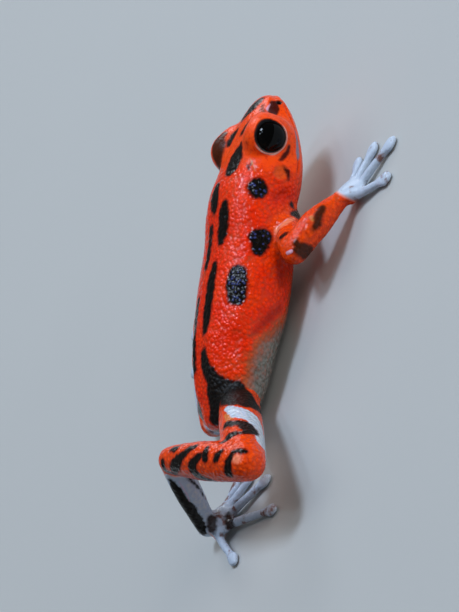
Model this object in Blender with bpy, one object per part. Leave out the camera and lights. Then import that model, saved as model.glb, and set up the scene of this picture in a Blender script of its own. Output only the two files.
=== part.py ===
"""Strawberry poison dart frog at life size, climbing with its head raised.

The frog faces -Y with its right side at -X and rests on the plane Z = 0.
Everything is shaped in millimetres and turned into metres at the end.
"""

import math

import bmesh
import bpy
from mathutils import Vector

MM = 0.001
UP = Vector((0.0, 0.0, 1.0))
RIGHT = -1.0
LEFT = 1.0
SIDE_NAMES = {RIGHT: "right", LEFT: "left"}

# Driving dimensions, in millimetres.
GAP = 0.3
EYE_GAP = 0.18
NECK_Y = 6.2
EYE_RADIUS = 1.13
LID_RADIUS = 1.51
BROW_RADIUS = 1.1
EYE_OPENING_RADIUS = 1.1
EAR_RADIUS = 0.5
NOSTRIL_RADIUS = 0.17
EAR_RIM_THICKNESS = 0.09
DIGIT_HALF_WIDTH = 0.27
FINGER_DISC_HALF_WIDTH = 0.5
TOE_DISC_HALF_WIDTH = 0.43

# The middle of the model's outline on the floor, which becomes the origin.
FLOOR_CENTRE = Vector((0.56, 13.89, 0.0))

# Cross sections of head and torso, from snout tip to vent:
# distance back, top, bottom, half width, fullness of the outline, narrowing towards the top.
TRUNK_SECTIONS = (
    (0.00, 4.35, 4.15, 0.10, 2.0, 0.00),
    (0.10, 4.75, 3.75, 0.70, 2.1, 0.02),
    (0.50, 5.08, 3.38, 1.28, 2.2, 0.06),
    (1.20, 5.35, 2.94, 1.80, 2.3, 0.12),
    (2.30, 5.60, 2.48, 2.38, 2.4, 0.18),
    (3.80, 5.74, 2.00, 2.84, 2.5, 0.20),
    (5.30, 5.88, 1.62, 3.02, 2.5, 0.14),
    (7.00, 6.08, 1.34, 2.92, 2.3, 0.06),
    (9.50, 5.60, 0.74, 3.08, 2.2, 0.02),
    (12.5, 5.28, 0.30, 3.25, 2.1, 0.00),
    (15.5, 4.80, 0.32, 2.95, 2.1, 0.00),
    (18.0, 4.00, 0.36, 2.60, 2.1, 0.00),
    (19.5, 3.28, 0.85, 1.95, 2.1, 0.00),
    (20.2, 2.90, 1.60, 1.10, 2.0, 0.00),
    (20.4, 2.45, 2.15, 0.20, 2.0, 0.00),
)
TRUNK_STEPS = 3
TRUNK_SIDES = 40

# Places on the head: distance out from the middle plane, back from the snout, height.
EYE_PLACE = (2.05, 3.34, 4.67)
EYE_DIRECTION = (0.955, -0.04, 0.26)
BROW_PLACE = (1.75, 2.75, 4.85)
EAR_PLACE = (2.90, 5.40, 3.80)
EAR_DIRECTION = (1.0, 0.1, 0.15)
NOSTRIL_PLACE = (1.42, 0.78, 4.30)
MOUTH_HEIGHTS = ((0.0, 4.05), (0.8, 3.95), (1.7, 3.60), (3.4, 3.04), (5.0, 2.83))
LIP_RADIUS = 0.17
MOUTH_GROOVE_RADIUS = 0.09
MOUTH_FRONT_BACK = 0.12
MOUTH_STEPS = 14
MOUTH_SPREAD = 1.7

# Joints of each limb: distance out from the middle plane, back from the snout, height.
ARM_JOINTS = {
    RIGHT: {"shoulder": (1.9, 7.6, 2.2), "elbow": (4.80, 10.3, 2.55), "wrist": (5.95, 6.7, 1.05)},
    LEFT: {"shoulder": (1.9, 7.6, 2.2), "elbow": (4.60, 9.9, 2.45), "wrist": (5.60, 6.6, 0.95)},
}
LEG_JOINTS = {
    RIGHT: {"hip": (1.5, 18.9, 2.1), "knee": (8.4, 24.5, 3.80), "heel": (0.45, 23.25, 4.85),
            "ankle": (-1.0, 25.7, 1.05)},
    LEFT: {"hip": (1.5, 18.6, 2.1), "knee": (6.4, 10.8, 1.75), "heel": (3.75, 18.8, 1.02),
           "ankle": (7.05, 15.3, 0.85)},
}
# Radii along each limb segment, from its root to its far joint.
UPPER_ARM_RADII = (0.90, 0.82, 0.78)
FOREARM_RADII = (0.80, 0.90, 0.52)
THIGH_RADII = (1.15, 1.26, 1.08)
SHANK_RADII = (1.06, 1.14, 0.82)
TARSUS_RADII = (0.78, 0.80, 0.62)

# Fingers and toes: bearing in degrees outwards from straight ahead, and reach from wrist or ankle.
FINGERS = {
    RIGHT: ((-14.0, 3.0), (14.0, 3.6), (43.0, 4.5), (76.0, 3.7)),
    LEFT: ((-22.0, 3.0), (6.0, 3.6), (35.0, 4.5), (68.0, 3.7)),
}
TOES = {
    RIGHT: ((13.0, 2.9), (37.0, 3.8), (62.0, 5.2), (87.5, 6.4), (128.0, 3.7)),
    LEFT: ((-8.0, 2.8), (11.0, 3.6), (29.0, 4.9), (47.0, 6.2), (66.0, 3.5)),
}
PALM_LENGTH = 1.25
PALM_HALF_WIDTHS = (0.50, 0.95, 1.05)
SOLE_LENGTH = 1.45
SOLE_HALF_WIDTHS = (0.60, 1.00, 1.20)
PAD_HALF_HEIGHTS = (0.52, 0.42, 0.32)
KNUCKLE_HEIGHT = 0.5
DIGIT_START = 0.9
DISC_LENGTH = 0.42
DISC_HEIGHT = 0.22

# How finely the round forms are divided.
CAP_ANGLES = (math.radians(62), math.radians(30))
LIMB_SIDES = 14
DIGIT_SIDES = 10
LIP_SIDES = 8
RIM_SIDES = 6

# Base colour, roughness.
SKIN_RED = ((0.78, 0.07, 0.01), 0.35)
LIMB_ORANGE = ((0.72, 0.10, 0.02), 0.35)
PALE_GREY = ((0.62, 0.62, 0.70), 0.40)
EYE_BLACK = ((0.005, 0.005, 0.007), 0.05)


def spline_rows(rows, steps):
    """Rows of numbers on a Catmull-Rom curve through the given rows."""
    padded = [rows[0]] + list(rows) + [rows[-1]]
    result = []
    for i in range(1, len(padded) - 2):
        before, start, end, after = padded[i - 1:i + 3]
        for step in range(steps):
            t = step / steps
            result.append([
                0.5 * (2 * b + (c - a) * t + (2 * a - 5 * b + 4 * c - d) * t * t
                       + (3 * b - a - 3 * c + d) * t ** 3)
                for a, b, c, d in zip(before, start, end, after)
            ])
    result.append(list(rows[-1]))
    return result


def value_at(table, key):
    """Straight-line reading of a table of (key, value) rows."""
    for (key_a, value_a), (key_b, value_b) in zip(table, table[1:]):
        if key <= key_b:
            share = (key - key_a) / (key_b - key_a)
            return value_a + share * (value_b - value_a)
    return table[-1][1]


def placed(side, place):
    """A point given by its distance out from the middle plane, on one side of the frog."""
    out, back, height = place
    return Vector((side * out, back, height))


def mesh_object(name, bm):
    """A new object that holds the given bmesh, with all faces turned outwards."""
    bmesh.ops.recalc_face_normals(bm, faces=bm.faces)
    mesh = bpy.data.meshes.new(name)
    bm.to_mesh(mesh)
    bm.free()
    obj = bpy.data.objects.new(name, mesh)
    bpy.context.scene.collection.objects.link(obj)
    return obj


def closed_loft(name, first_pole, rings, last_pole):
    """A closed surface over rings of equal count, with a point at each end."""
    bm = bmesh.new()
    loops = [[bm.verts.new(p) for p in ring] for ring in rings]
    count = len(loops[0])
    for low, high in zip(loops, loops[1:]):
        for k in range(count):
            j = (k + 1) % count
            bm.faces.new((low[k], low[j], high[j], high[k]))
    for pole, loop in ((first_pole, loops[0]), (last_pole, loops[-1])):
        tip = bm.verts.new(pole)
        for k in range(count):
            bm.faces.new((tip, loop[k], loop[(k + 1) % count]))
    return mesh_object(name, bm)


def trunk_ring(section, count):
    """One upright outline of head or torso."""
    back, top, bottom, half_width, fullness, narrowing = section
    middle = (top + bottom) / 2
    half_height = (top - bottom) / 2
    power = 2 / fullness
    ring = []
    for k in range(count):
        angle = 2 * math.pi * k / count
        c, s = math.cos(angle), math.sin(angle)
        rise = math.copysign(abs(s) ** power, s)
        out = math.copysign(abs(c) ** power, c) * half_width * (1 - narrowing * rise)
        ring.append(Vector((out, back, middle + half_height * rise)))
    return ring


def make_trunk(name):
    """Head and torso as one closed body, from snout to vent."""
    sections = spline_rows(TRUNK_SECTIONS, TRUNK_STEPS)
    rings = [trunk_ring(section, TRUNK_SIDES) for section in sections[1:-1]]
    poles = [Vector((0.0, s[0], (s[1] + s[2]) / 2)) for s in (sections[0], sections[-1])]
    return closed_loft(name, poles[0], rings, poles[1])


def trunk_half_width(back, height):
    """Half the trunk's width at one distance back and one height."""
    sections = spline_rows(TRUNK_SECTIONS, 12)
    columns = [value_at([(s[0], s[i]) for s in sections], back) for i in range(1, 6)]
    top, bottom, half_width, fullness, narrowing = columns
    rise = (2 * height - top - bottom) / (top - bottom)
    if abs(rise) >= 1:
        return 0.0
    shape = (1 - abs(rise) ** fullness) ** (1 / fullness)
    return half_width * shape * (1 - narrowing * rise)


def tube(name, rows, sides, steps):
    """A limb or digit: rows are x, y, z, half width and half height; both ends are rounded."""
    rows = spline_rows(rows, steps)
    centres = [Vector(row[:3]) for row in rows]
    rings = []
    frames = []
    for i, centre in enumerate(centres):
        ahead = centres[min(i + 1, len(centres) - 1)] - centres[max(i - 1, 0)]
        ahead.normalize()
        side = ahead.cross(UP).normalized()
        frames.append((ahead, side, side.cross(ahead)))

    def ring(i, shift, scale):
        ahead, side, lift = frames[i]
        half_width, half_height = rows[i][3] * scale, rows[i][4] * scale
        middle = centres[i] + ahead * shift
        angles = [2 * math.pi * k / sides for k in range(sides)]
        return [middle + side * half_width * math.cos(a) + lift * half_height * math.sin(a)
                for a in angles]

    start_reach, end_reach = min(rows[0][3:]), min(rows[-1][3:])
    for angle in CAP_ANGLES:
        rings.append(ring(0, -start_reach * math.sin(angle), math.cos(angle)))
    for i in range(len(rows)):
        rings.append(ring(i, 0.0, 1.0))
    for angle in reversed(CAP_ANGLES):
        rings.append(ring(len(rows) - 1, end_reach * math.sin(angle), math.cos(angle)))
    first = centres[0] - frames[0][0] * start_reach
    last = centres[-1] + frames[-1][0] * end_reach
    return closed_loft(name, first, rings, last)


def ball(name, centre, radius, sides):
    """A round ball."""
    bm = bmesh.new()
    bmesh.ops.create_uvsphere(bm, u_segments=sides, v_segments=sides // 2, radius=radius)
    bmesh.ops.translate(bm, verts=bm.verts, vec=centre)
    return mesh_object(name, bm)


def ring_of_skin(name, centre, axis, radius, thickness, sides):
    """A round raised rim around an axis."""
    turn = axis.to_track_quat("Z", "Y")
    bm = bmesh.new()
    loops = []
    for k in range(sides):
        angle = 2 * math.pi * k / sides
        outward = Vector((math.cos(angle), math.sin(angle), 0.0))
        loop = []
        for j in range(RIM_SIDES):
            around = 2 * math.pi * j / RIM_SIDES
            point = outward * (radius + thickness * math.cos(around)) + UP * thickness * math.sin(around)
            loop.append(bm.verts.new(centre + turn @ point))
        loops.append(loop)
    for k in range(sides):
        near, far = loops[k], loops[(k + 1) % sides]
        for j in range(RIM_SIDES):
            i = (j + 1) % RIM_SIDES
            bm.faces.new((near[j], near[i], far[i], far[j]))
    return mesh_object(name, bm)


def rod(name, start, end, radius, sides):
    """A straight round rod between two points."""
    bm = bmesh.new()
    along = end - start
    bmesh.ops.create_cone(bm, cap_ends=True, segments=sides, radius1=radius, radius2=radius,
                          depth=along.length)
    turn = along.to_track_quat("Z", "Y")
    for vert in bm.verts:
        vert.co = (start + end) / 2 + turn @ vert.co
    return mesh_object(name, bm)


def swollen(obj, distance):
    """A copy of a body that stands out from it by the given distance."""
    bm = bmesh.new()
    bm.from_mesh(obj.data)
    bm.normal_update()
    shifts = [(vert, vert.normal * distance) for vert in bm.verts]
    for vert, shift in shifts:
        vert.co += shift
    return mesh_object(obj.name + "_clearance", bm)


def remove(obj):
    bpy.data.objects.remove(obj)


def boolean(obj, tool, operation):
    """Joins a tool to an object or cuts it out, and removes the tool."""
    modifier = obj.modifiers.new("shape", "BOOLEAN")
    modifier.operation = operation
    modifier.solver = "EXACT"
    modifier.object = tool
    graph = bpy.context.evaluated_depsgraph_get()
    mesh = bpy.data.meshes.new_from_object(obj.evaluated_get(graph))
    obj.modifiers.clear()
    obj.data = mesh
    remove(tool)


def keep_largest(obj):
    """Drops all but the largest closed surface of an object."""
    bm = bmesh.new()
    bm.from_mesh(obj.data)
    bm.faces.ensure_lookup_table()
    unseen = set(bm.faces)
    groups = []
    while unseen:
        group = set()
        waiting = [unseen.pop()]
        while waiting:
            face = waiting.pop()
            group.add(face)
            for edge in face.edges:
                for other in edge.link_faces:
                    if other in unseen:
                        unseen.remove(other)
                        waiting.append(other)
        groups.append(group)
    largest = max(groups, key=lambda group: sum(face.calc_area() for face in group))
    spare = [face for face in bm.faces if face not in largest]
    bmesh.ops.delete(bm, geom=spare, context="FACES")
    bm.to_mesh(obj.data)
    bm.free()


def slice_off(obj, back, keep_front):
    """Cuts an upright plane across a body and closes the cut."""
    bm = bmesh.new()
    bm.from_mesh(obj.data)
    bmesh.ops.bisect_plane(bm, geom=bm.verts[:] + bm.edges[:] + bm.faces[:], dist=0.0001,
                           plane_co=(0.0, back, 0.0), plane_no=(0.0, 1.0, 0.0),
                           clear_outer=keep_front, clear_inner=not keep_front)
    edges = [edge for edge in bm.edges if edge.is_boundary]
    bmesh.ops.contextual_create(bm, geom=edges)
    bmesh.ops.recalc_face_normals(bm, faces=bm.faces)
    bm.to_mesh(obj.data)
    bm.free()


def clear_of(obj, neighbour):
    """Cuts an object back so that it meets its neighbour with the gap."""
    boolean(obj, swollen(neighbour, GAP), "DIFFERENCE")
    keep_largest(obj)


def flatten_on_floor(obj):
    """Gives a pad its flat underside at floor level."""
    for vert in obj.data.vertices:
        vert.co.z = max(vert.co.z, 0.0)


def limb_segment(name, start, end, radii, sag):
    """One length of a limb, round at both ends; sag bends its middle up or down."""
    middle = (start + end) / 2 + UP * sag
    rows = [(*point, radius, radius) for point, radius in zip((start, middle, end), radii)]
    return tube(name, rows, LIMB_SIDES, 3)


def bearing_vector(side, degrees):
    """Level direction at a bearing outwards from straight ahead."""
    angle = math.radians(degrees)
    return Vector((side * math.sin(angle), -math.cos(angle), 0.0))


def make_pad(name, root, side, bearing, length, widths):
    """The palm of a hand or the sole of a foot, flat and widest at its knuckles."""
    ahead = bearing_vector(side, bearing)
    rows = []
    for share, half_width, half_height in zip((0.0, 0.5, 1.0), widths, PAD_HALF_HEIGHTS):
        point = root + ahead * length * share
        point.z = root.z + (KNUCKLE_HEIGHT - root.z) * share
        rows.append((*point, half_width, half_height))
    return tube(name, rows, LIMB_SIDES, 3)


def make_digit(name, root, side, bearing, reach, disc_half_width):
    """A finger or toe with the disc at its tip standing on the floor."""
    ahead = bearing_vector(side, bearing)
    plan = (
        (DIGIT_START, KNUCKLE_HEIGHT, DIGIT_HALF_WIDTH, 0.26),
        ((reach + DIGIT_START) / 2 - 0.3, 0.38, DIGIT_HALF_WIDTH, 0.25),
        (reach - 2.3 * DISC_LENGTH, 0.27, DIGIT_HALF_WIDTH - 0.02, 0.24),
        (reach - DISC_LENGTH, DISC_HEIGHT, disc_half_width, 0.24),
        (reach, DISC_HEIGHT, disc_half_width * 0.8, 0.2),
    )
    rows = []
    for distance, height, half_width, half_height in plan:
        point = Vector((root.x, root.y, height)) + ahead * distance
        rows.append((*point, half_width, half_height))
    return tube(name, rows, DIGIT_SIDES, 2)


def make_digits(kind, side, root, pad, directions, disc_half_width):
    """All fingers of a hand or toes of a foot."""
    for number, (bearing, reach) in enumerate(directions, 1):
        name = f"{SIDE_NAMES[side]}_{kind}_{number}"
        digit = make_digit(name, root, side, bearing, reach, disc_half_width)
        clear_of(digit, pad)
        flatten_on_floor(digit)


def make_arm(side, trunk):
    """One front limb, from shoulder to fingers."""
    joints = {name: placed(side, place) for name, place in ARM_JOINTS[side].items()}
    label = SIDE_NAMES[side]
    upper = limb_segment(label + "_upper_arm", joints["shoulder"], joints["elbow"], UPPER_ARM_RADII, 0.1)
    forearm = limb_segment(label + "_forearm", joints["elbow"], joints["wrist"], FOREARM_RADII, 0.15)
    bearings = [bearing for bearing, reach in FINGERS[side]]
    hand = make_pad(label + "_hand", joints["wrist"], side, sum(bearings) / len(bearings),
                    PALM_LENGTH, PALM_HALF_WIDTHS)
    make_digits("finger", side, joints["wrist"], hand, FINGERS[side], FINGER_DISC_HALF_WIDTH)
    clear_of(hand, forearm)
    clear_of(forearm, upper)
    clear_of(upper, trunk)


def make_leg(side, trunk):
    """One hind limb, from hip to toes."""
    joints = {name: placed(side, place) for name, place in LEG_JOINTS[side].items()}
    label = SIDE_NAMES[side]
    thigh = limb_segment(label + "_thigh", joints["hip"], joints["knee"], THIGH_RADII, 0.1)
    shank = limb_segment(label + "_shank", joints["knee"], joints["heel"], SHANK_RADII, 0.1)
    tarsus = limb_segment(label + "_tarsus", joints["heel"], joints["ankle"], TARSUS_RADII, 0.0)
    bearings = [bearing for bearing, reach in TOES[side]]
    foot = make_pad(label + "_foot", joints["ankle"], side, sum(bearings) / len(bearings),
                    SOLE_LENGTH, SOLE_HALF_WIDTHS)
    make_digits("toe", side, joints["ankle"], foot, TOES[side], TOE_DISC_HALF_WIDTH)
    clear_of(foot, tarsus)
    clear_of(tarsus, shank)
    clear_of(shank, thigh)
    clear_of(thigh, trunk)


def mouth_path(outset):
    """Points along the line of the mouth, from the left corner round the snout to the right one."""
    corner = MOUTH_HEIGHTS[-1][0]
    half = []
    for k in range(MOUTH_STEPS):
        share = (k / (MOUTH_STEPS - 1)) ** MOUTH_SPREAD
        back = MOUTH_FRONT_BACK + (corner - MOUTH_FRONT_BACK) * share
        height = value_at(MOUTH_HEIGHTS, back)
        half.append((trunk_half_width(back, height) + outset, back, height))
    tip = (0.0, 0.02 - outset, MOUTH_HEIGHTS[0][1])
    left = [placed(LEFT, place) for place in reversed(half)]
    right = [placed(RIGHT, place) for place in half]
    return left + [Vector(tip)] + right


def mouth_tube(name, outset, radius):
    rows = [(*point, radius, radius) for point in mouth_path(outset)]
    return tube(name, rows, LIP_SIDES, 1)


def make_head_and_torso():
    """The head with lids, ears, nostrils and lips, the torso behind it, and the eyes."""
    torso = make_trunk("torso")
    slice_off(torso, NECK_Y + GAP / 2, keep_front=False)
    head = make_trunk("head")
    boolean(head, mouth_tube("lips", -0.05, LIP_RADIUS), "UNION")
    boolean(head, mouth_tube("mouth_groove", 0.1, MOUTH_GROOVE_RADIUS), "DIFFERENCE")
    slice_off(head, NECK_Y - GAP / 2, keep_front=True)
    for side in (RIGHT, LEFT):
        centre = placed(side, EYE_PLACE)
        axis = placed(side, EYE_DIRECTION).normalized()
        boolean(head, ball("lid", centre, LID_RADIUS, 24), "UNION")
        boolean(head, ball("brow", placed(side, BROW_PLACE), BROW_RADIUS, 20), "UNION")
        boolean(head, ball("socket", centre, EYE_RADIUS + EYE_GAP, 20), "DIFFERENCE")
        opening = rod("opening", centre, centre + axis * 2 * LID_RADIUS, EYE_OPENING_RADIUS, 24)
        boolean(head, opening, "DIFFERENCE")
        ear_rim = ring_of_skin("ear", placed(side, EAR_PLACE), placed(side, EAR_DIRECTION).normalized(),
                               EAR_RADIUS, EAR_RIM_THICKNESS, 20)
        boolean(head, ear_rim, "UNION")
        boolean(head, ball("nostril", placed(side, NOSTRIL_PLACE), NOSTRIL_RADIUS, 10), "DIFFERENCE")
        ball(SIDE_NAMES[side] + "_eye", centre, EYE_RADIUS, 24)
    keep_largest(head)


def finish_name(name):
    """The finish that a body part's material takes."""
    if name.endswith("eye"):
        return EYE_BLACK
    if name in ("head", "torso"):
        return SKIN_RED
    if any(word in name for word in ("finger", "toe", "tarsus", "foot", "hand")):
        return PALE_GREY
    return LIMB_ORANGE


def add_material(obj):
    colour, roughness = finish_name(obj.name)
    material = bpy.data.materials.new(obj.name + "_skin")
    material.use_nodes = True
    shader = material.node_tree.nodes["Principled BSDF"]
    shader.inputs["Base Color"].default_value = (*colour, 1.0)
    shader.inputs["Roughness"].default_value = roughness
    shader.inputs["Metallic"].default_value = 0.0
    obj.data.materials.clear()
    obj.data.materials.append(material)


def to_metres(obj):
    """Moves a body part to the frog's origin and turns it from millimetres into metres."""
    for vert in obj.data.vertices:
        vert.co = (vert.co - FLOOR_CENTRE) * MM


def main():
    for obj in list(bpy.data.objects):
        remove(obj)
    trunk = make_trunk("trunk")
    for side in (RIGHT, LEFT):
        make_arm(side, trunk)
        make_leg(side, trunk)
    remove(trunk)
    make_head_and_torso()
    for obj in bpy.context.scene.objects:
        to_metres(obj)
        obj.data.shade_smooth()
        obj.data.set_sharp_from_angle(angle=math.radians(40))
        add_material(obj)


main()
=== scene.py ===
"""A strawberry poison dart frog at life size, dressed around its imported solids.

The frog faces -Y, its right side is at -X, and it stands on the plane Z = 0.
Its skin is shaped in millimetres and turned into metres at the end.
"""

import math

import bmesh
import bpy
import numpy as np
from mathutils import Matrix, Vector


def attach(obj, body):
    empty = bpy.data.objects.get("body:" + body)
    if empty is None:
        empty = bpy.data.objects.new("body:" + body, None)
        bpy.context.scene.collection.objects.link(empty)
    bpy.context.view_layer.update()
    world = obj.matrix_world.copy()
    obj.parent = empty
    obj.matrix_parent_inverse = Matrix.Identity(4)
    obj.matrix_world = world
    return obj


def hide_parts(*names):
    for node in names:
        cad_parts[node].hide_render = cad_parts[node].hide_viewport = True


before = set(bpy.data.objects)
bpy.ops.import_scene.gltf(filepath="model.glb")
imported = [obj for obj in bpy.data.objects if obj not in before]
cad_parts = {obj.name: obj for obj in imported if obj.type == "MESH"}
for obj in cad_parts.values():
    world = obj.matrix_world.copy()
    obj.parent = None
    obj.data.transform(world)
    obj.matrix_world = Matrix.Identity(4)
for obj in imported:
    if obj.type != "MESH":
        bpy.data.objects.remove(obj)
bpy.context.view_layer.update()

bl_info = {
    "name": "Strawberry poison dart frog",
    "version": (1, 0, 0),
    "blender": (4, 5, 0),
    "location": "View3D > Sidebar > Frog",
    "description": "A granular red frog with black marks, pale feet and glossy black eyes",
    "category": "Add Mesh",
}

MM = 0.001
PER_METRE = 1000.0
UP = Vector((0.0, 0.0, 1.0))
RIGHT = -1.0
LEFT = 1.0
SIDES = (RIGHT, LEFT)
SIDE_NAMES = {RIGHT: "right", LEFT: "left"}
MIRROR = np.array((-1.0, 1.0, 1.0))
FAR_AWAY = 9.0

# The middle of the frog's outline on the floor, in millimetres from the snout's own origin.
FLOOR_CENTRE = Vector((0.56, 13.89, 0.0))

# Cross sections of head and torso, from snout tip to vent:
# distance back, top, bottom, half width, fullness of the outline, narrowing towards the top.
TRUNK_SECTIONS = (
    (0.00, 4.35, 4.15, 0.10, 2.0, 0.00),
    (0.10, 4.75, 3.75, 0.70, 2.1, 0.02),
    (0.50, 5.08, 3.38, 1.28, 2.2, 0.06),
    (1.20, 5.35, 2.94, 1.80, 2.3, 0.12),
    (2.30, 5.60, 2.48, 2.38, 2.4, 0.18),
    (3.80, 5.74, 2.00, 2.84, 2.5, 0.20),
    (5.30, 5.88, 1.62, 3.02, 2.5, 0.14),
    (7.00, 6.08, 1.34, 2.92, 2.3, 0.06),
    (9.50, 5.60, 0.74, 3.08, 2.2, 0.02),
    (12.5, 5.28, 0.30, 3.25, 2.1, 0.00),
    (15.5, 4.80, 0.32, 2.95, 2.1, 0.00),
    (18.0, 4.00, 0.36, 2.60, 2.1, 0.00),
    (19.5, 3.28, 0.85, 1.95, 2.1, 0.00),
    (20.2, 2.90, 1.60, 1.10, 2.0, 0.00),
    (20.4, 2.45, 2.15, 0.20, 2.0, 0.00),
)

# Places on the head: distance out from the middle plane, back from the snout, height.
EYE_PLACE = (2.05, 3.34, 4.67)
EYE_DIRECTION = (0.955, -0.04, 0.26)
EYE_RADIUS = 1.13
LID_RADIUS = 1.51
# Everything about the lids lies within this distance of the eye's centre.
AROUND_EYE = 2.2
BROW_PLACE = (1.75, 2.75, 4.85)
BROW_RADIUS = 1.1
# The opening between the lids: place in degrees round the eye, from the front over the top,
# and how far from the eye's axis the lid begins there.
LID_OPENING = ((0, 37), (45, 44), (90, 46), (135, 57), (180, 65), (225, 62), (270, 51), (315, 42))
UPPER_LID_THICKNESS = 0.33
LOWER_LID_THICKNESS = 0.09
# How far round the opening the lids are thinned, and how deep the skin inside it is tucked.
LID_REACH = 0.62
LID_TUCK = 0.16
EAR_PLACE = (2.95, 5.40, 3.80)
EAR_RADIUS = 0.50
EAR_RIM_HEIGHT = 0.055
EAR_DEPTH = 0.05
NOSTRIL_PLACE = (1.42, 0.78, 4.30)
NOSTRIL_RADIUS = 0.11
NOSTRIL_DEPTH = 0.22
NOSTRIL_RIM_HEIGHT = 0.05
# The line of the mouth: distance back and height. Then its groove and the lips beside it.
MOUTH_HEIGHTS = ((0.0, 4.05), (0.8, 3.95), (1.7, 3.60), (3.4, 3.04), (5.0, 2.83))
MOUTH_DEPTH = 0.13
MOUTH_WIDTH = 0.06
LIP_HEIGHT = 0.07
LIP_WIDTH = 0.12
LIP_DISTANCE = 0.16

# Low forms of the head, alike on both sides: height or, below zero, depth, how far each spreads,
# and the line that it follows.
HEAD_FORMS = {
    "snout_edge": (0.10, 0.17, ((1.05, 0.45, 4.75), (1.42, 1.20, 4.92), (1.70, 1.90, 5.12))),
    "lore": (-0.16, 0.55, ((1.95, 1.55, 4.50),)),
    "jaw": (0.08, 0.50, ((2.90, 4.60, 2.90), (2.95, 6.20, 3.10))),
    "fold": (-0.05, 0.07, ((2.00, 4.85, 5.25), (2.15, 5.60, 5.10))),
}
# The same of the body.
BODY_FORMS = {
    "shoulder_blade": (0.10, 0.90, ((1.90, 8.20, 5.00),)),
    "hip": (0.12, 0.45, ((0.90, 15.6, 4.70), (1.00, 18.6, 3.90))),
    "waist": (-0.12, 0.60, ((2.40, 15.8, 3.90), (2.20, 18.2, 3.50))),
    "armpit": (-0.10, 0.25, ((3.10, 8.90, 3.60), (3.30, 9.70, 2.40))),
    "neck": (-0.06, 0.30, ((2.95, 6.50, 2.20), (2.80, 6.70, 3.60))),
    "flank_fold": (-0.07, 0.30, ((3.00, 13.1, 1.70), (3.10, 14.3, 2.40), (2.90, 15.6, 3.00))),
}
FLANK_RIPPLE = 0.035

# How many times each part of the skin is evened out.
EVEN_ROUNDS = {"whole": 4, "trunk": 14, "joins": 34, "knuckles": 8, "lids": 5}

# Joints of each limb: distance out from the middle plane, back from the snout, height.
ARM_JOINTS = {
    RIGHT: {"shoulder": (1.9, 7.6, 2.2), "elbow": (4.80, 10.3, 2.55), "wrist": (5.95, 6.7, 1.05)},
    LEFT: {"shoulder": (1.9, 7.6, 2.2), "elbow": (4.60, 9.9, 2.45), "wrist": (5.60, 6.6, 0.95)},
}
LEG_JOINTS = {
    RIGHT: {"hip": (1.5, 18.9, 2.1), "knee": (8.4, 24.5, 3.80), "heel": (0.45, 23.25, 4.85),
            "ankle": (-1.0, 25.7, 1.05)},
    LEFT: {"hip": (1.5, 18.6, 2.1), "knee": (6.4, 10.8, 1.75), "heel": (3.75, 18.8, 1.02),
           "ankle": (7.05, 15.3, 0.85)},
}
# Limb segments: the joints they join, radii from root to far joint, upward bend of the middle.
SEGMENTS = {
    "upper_arm": ("shoulder", "elbow", (0.90, 0.82, 0.78), 0.1),
    "forearm": ("elbow", "wrist", (0.80, 0.90, 0.52), 0.15),
    "thigh": ("hip", "knee", (1.15, 1.26, 1.08), 0.1),
    "shank": ("knee", "heel", (1.06, 1.14, 0.82), 0.1),
    "tarsus": ("heel", "ankle", (0.78, 0.80, 0.62), 0.0),
}
# Fingers and toes: bearing in degrees outwards from straight ahead, and reach from wrist or ankle.
FINGERS = {
    RIGHT: ((-14.0, 3.0), (14.0, 3.6), (43.0, 4.5), (76.0, 3.7)),
    LEFT: ((-22.0, 3.0), (6.0, 3.6), (35.0, 4.5), (68.0, 3.7)),
}
TOES = {
    RIGHT: ((13.0, 2.9), (37.0, 3.8), (62.0, 5.2), (87.5, 6.4), (128.0, 3.7)),
    LEFT: ((-8.0, 2.8), (11.0, 3.6), (29.0, 4.9), (47.0, 6.2), (66.0, 3.5)),
}
PALM = (1.25, (0.50, 0.95, 1.05))
SOLE = (1.45, (0.60, 1.00, 1.20))
FINGER_DISC = 0.50
TOE_DISC = 0.43
# How far from heel to ankle the pale skin begins, as a share of the way.
PALE_FROM_HEEL = 0.22

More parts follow.
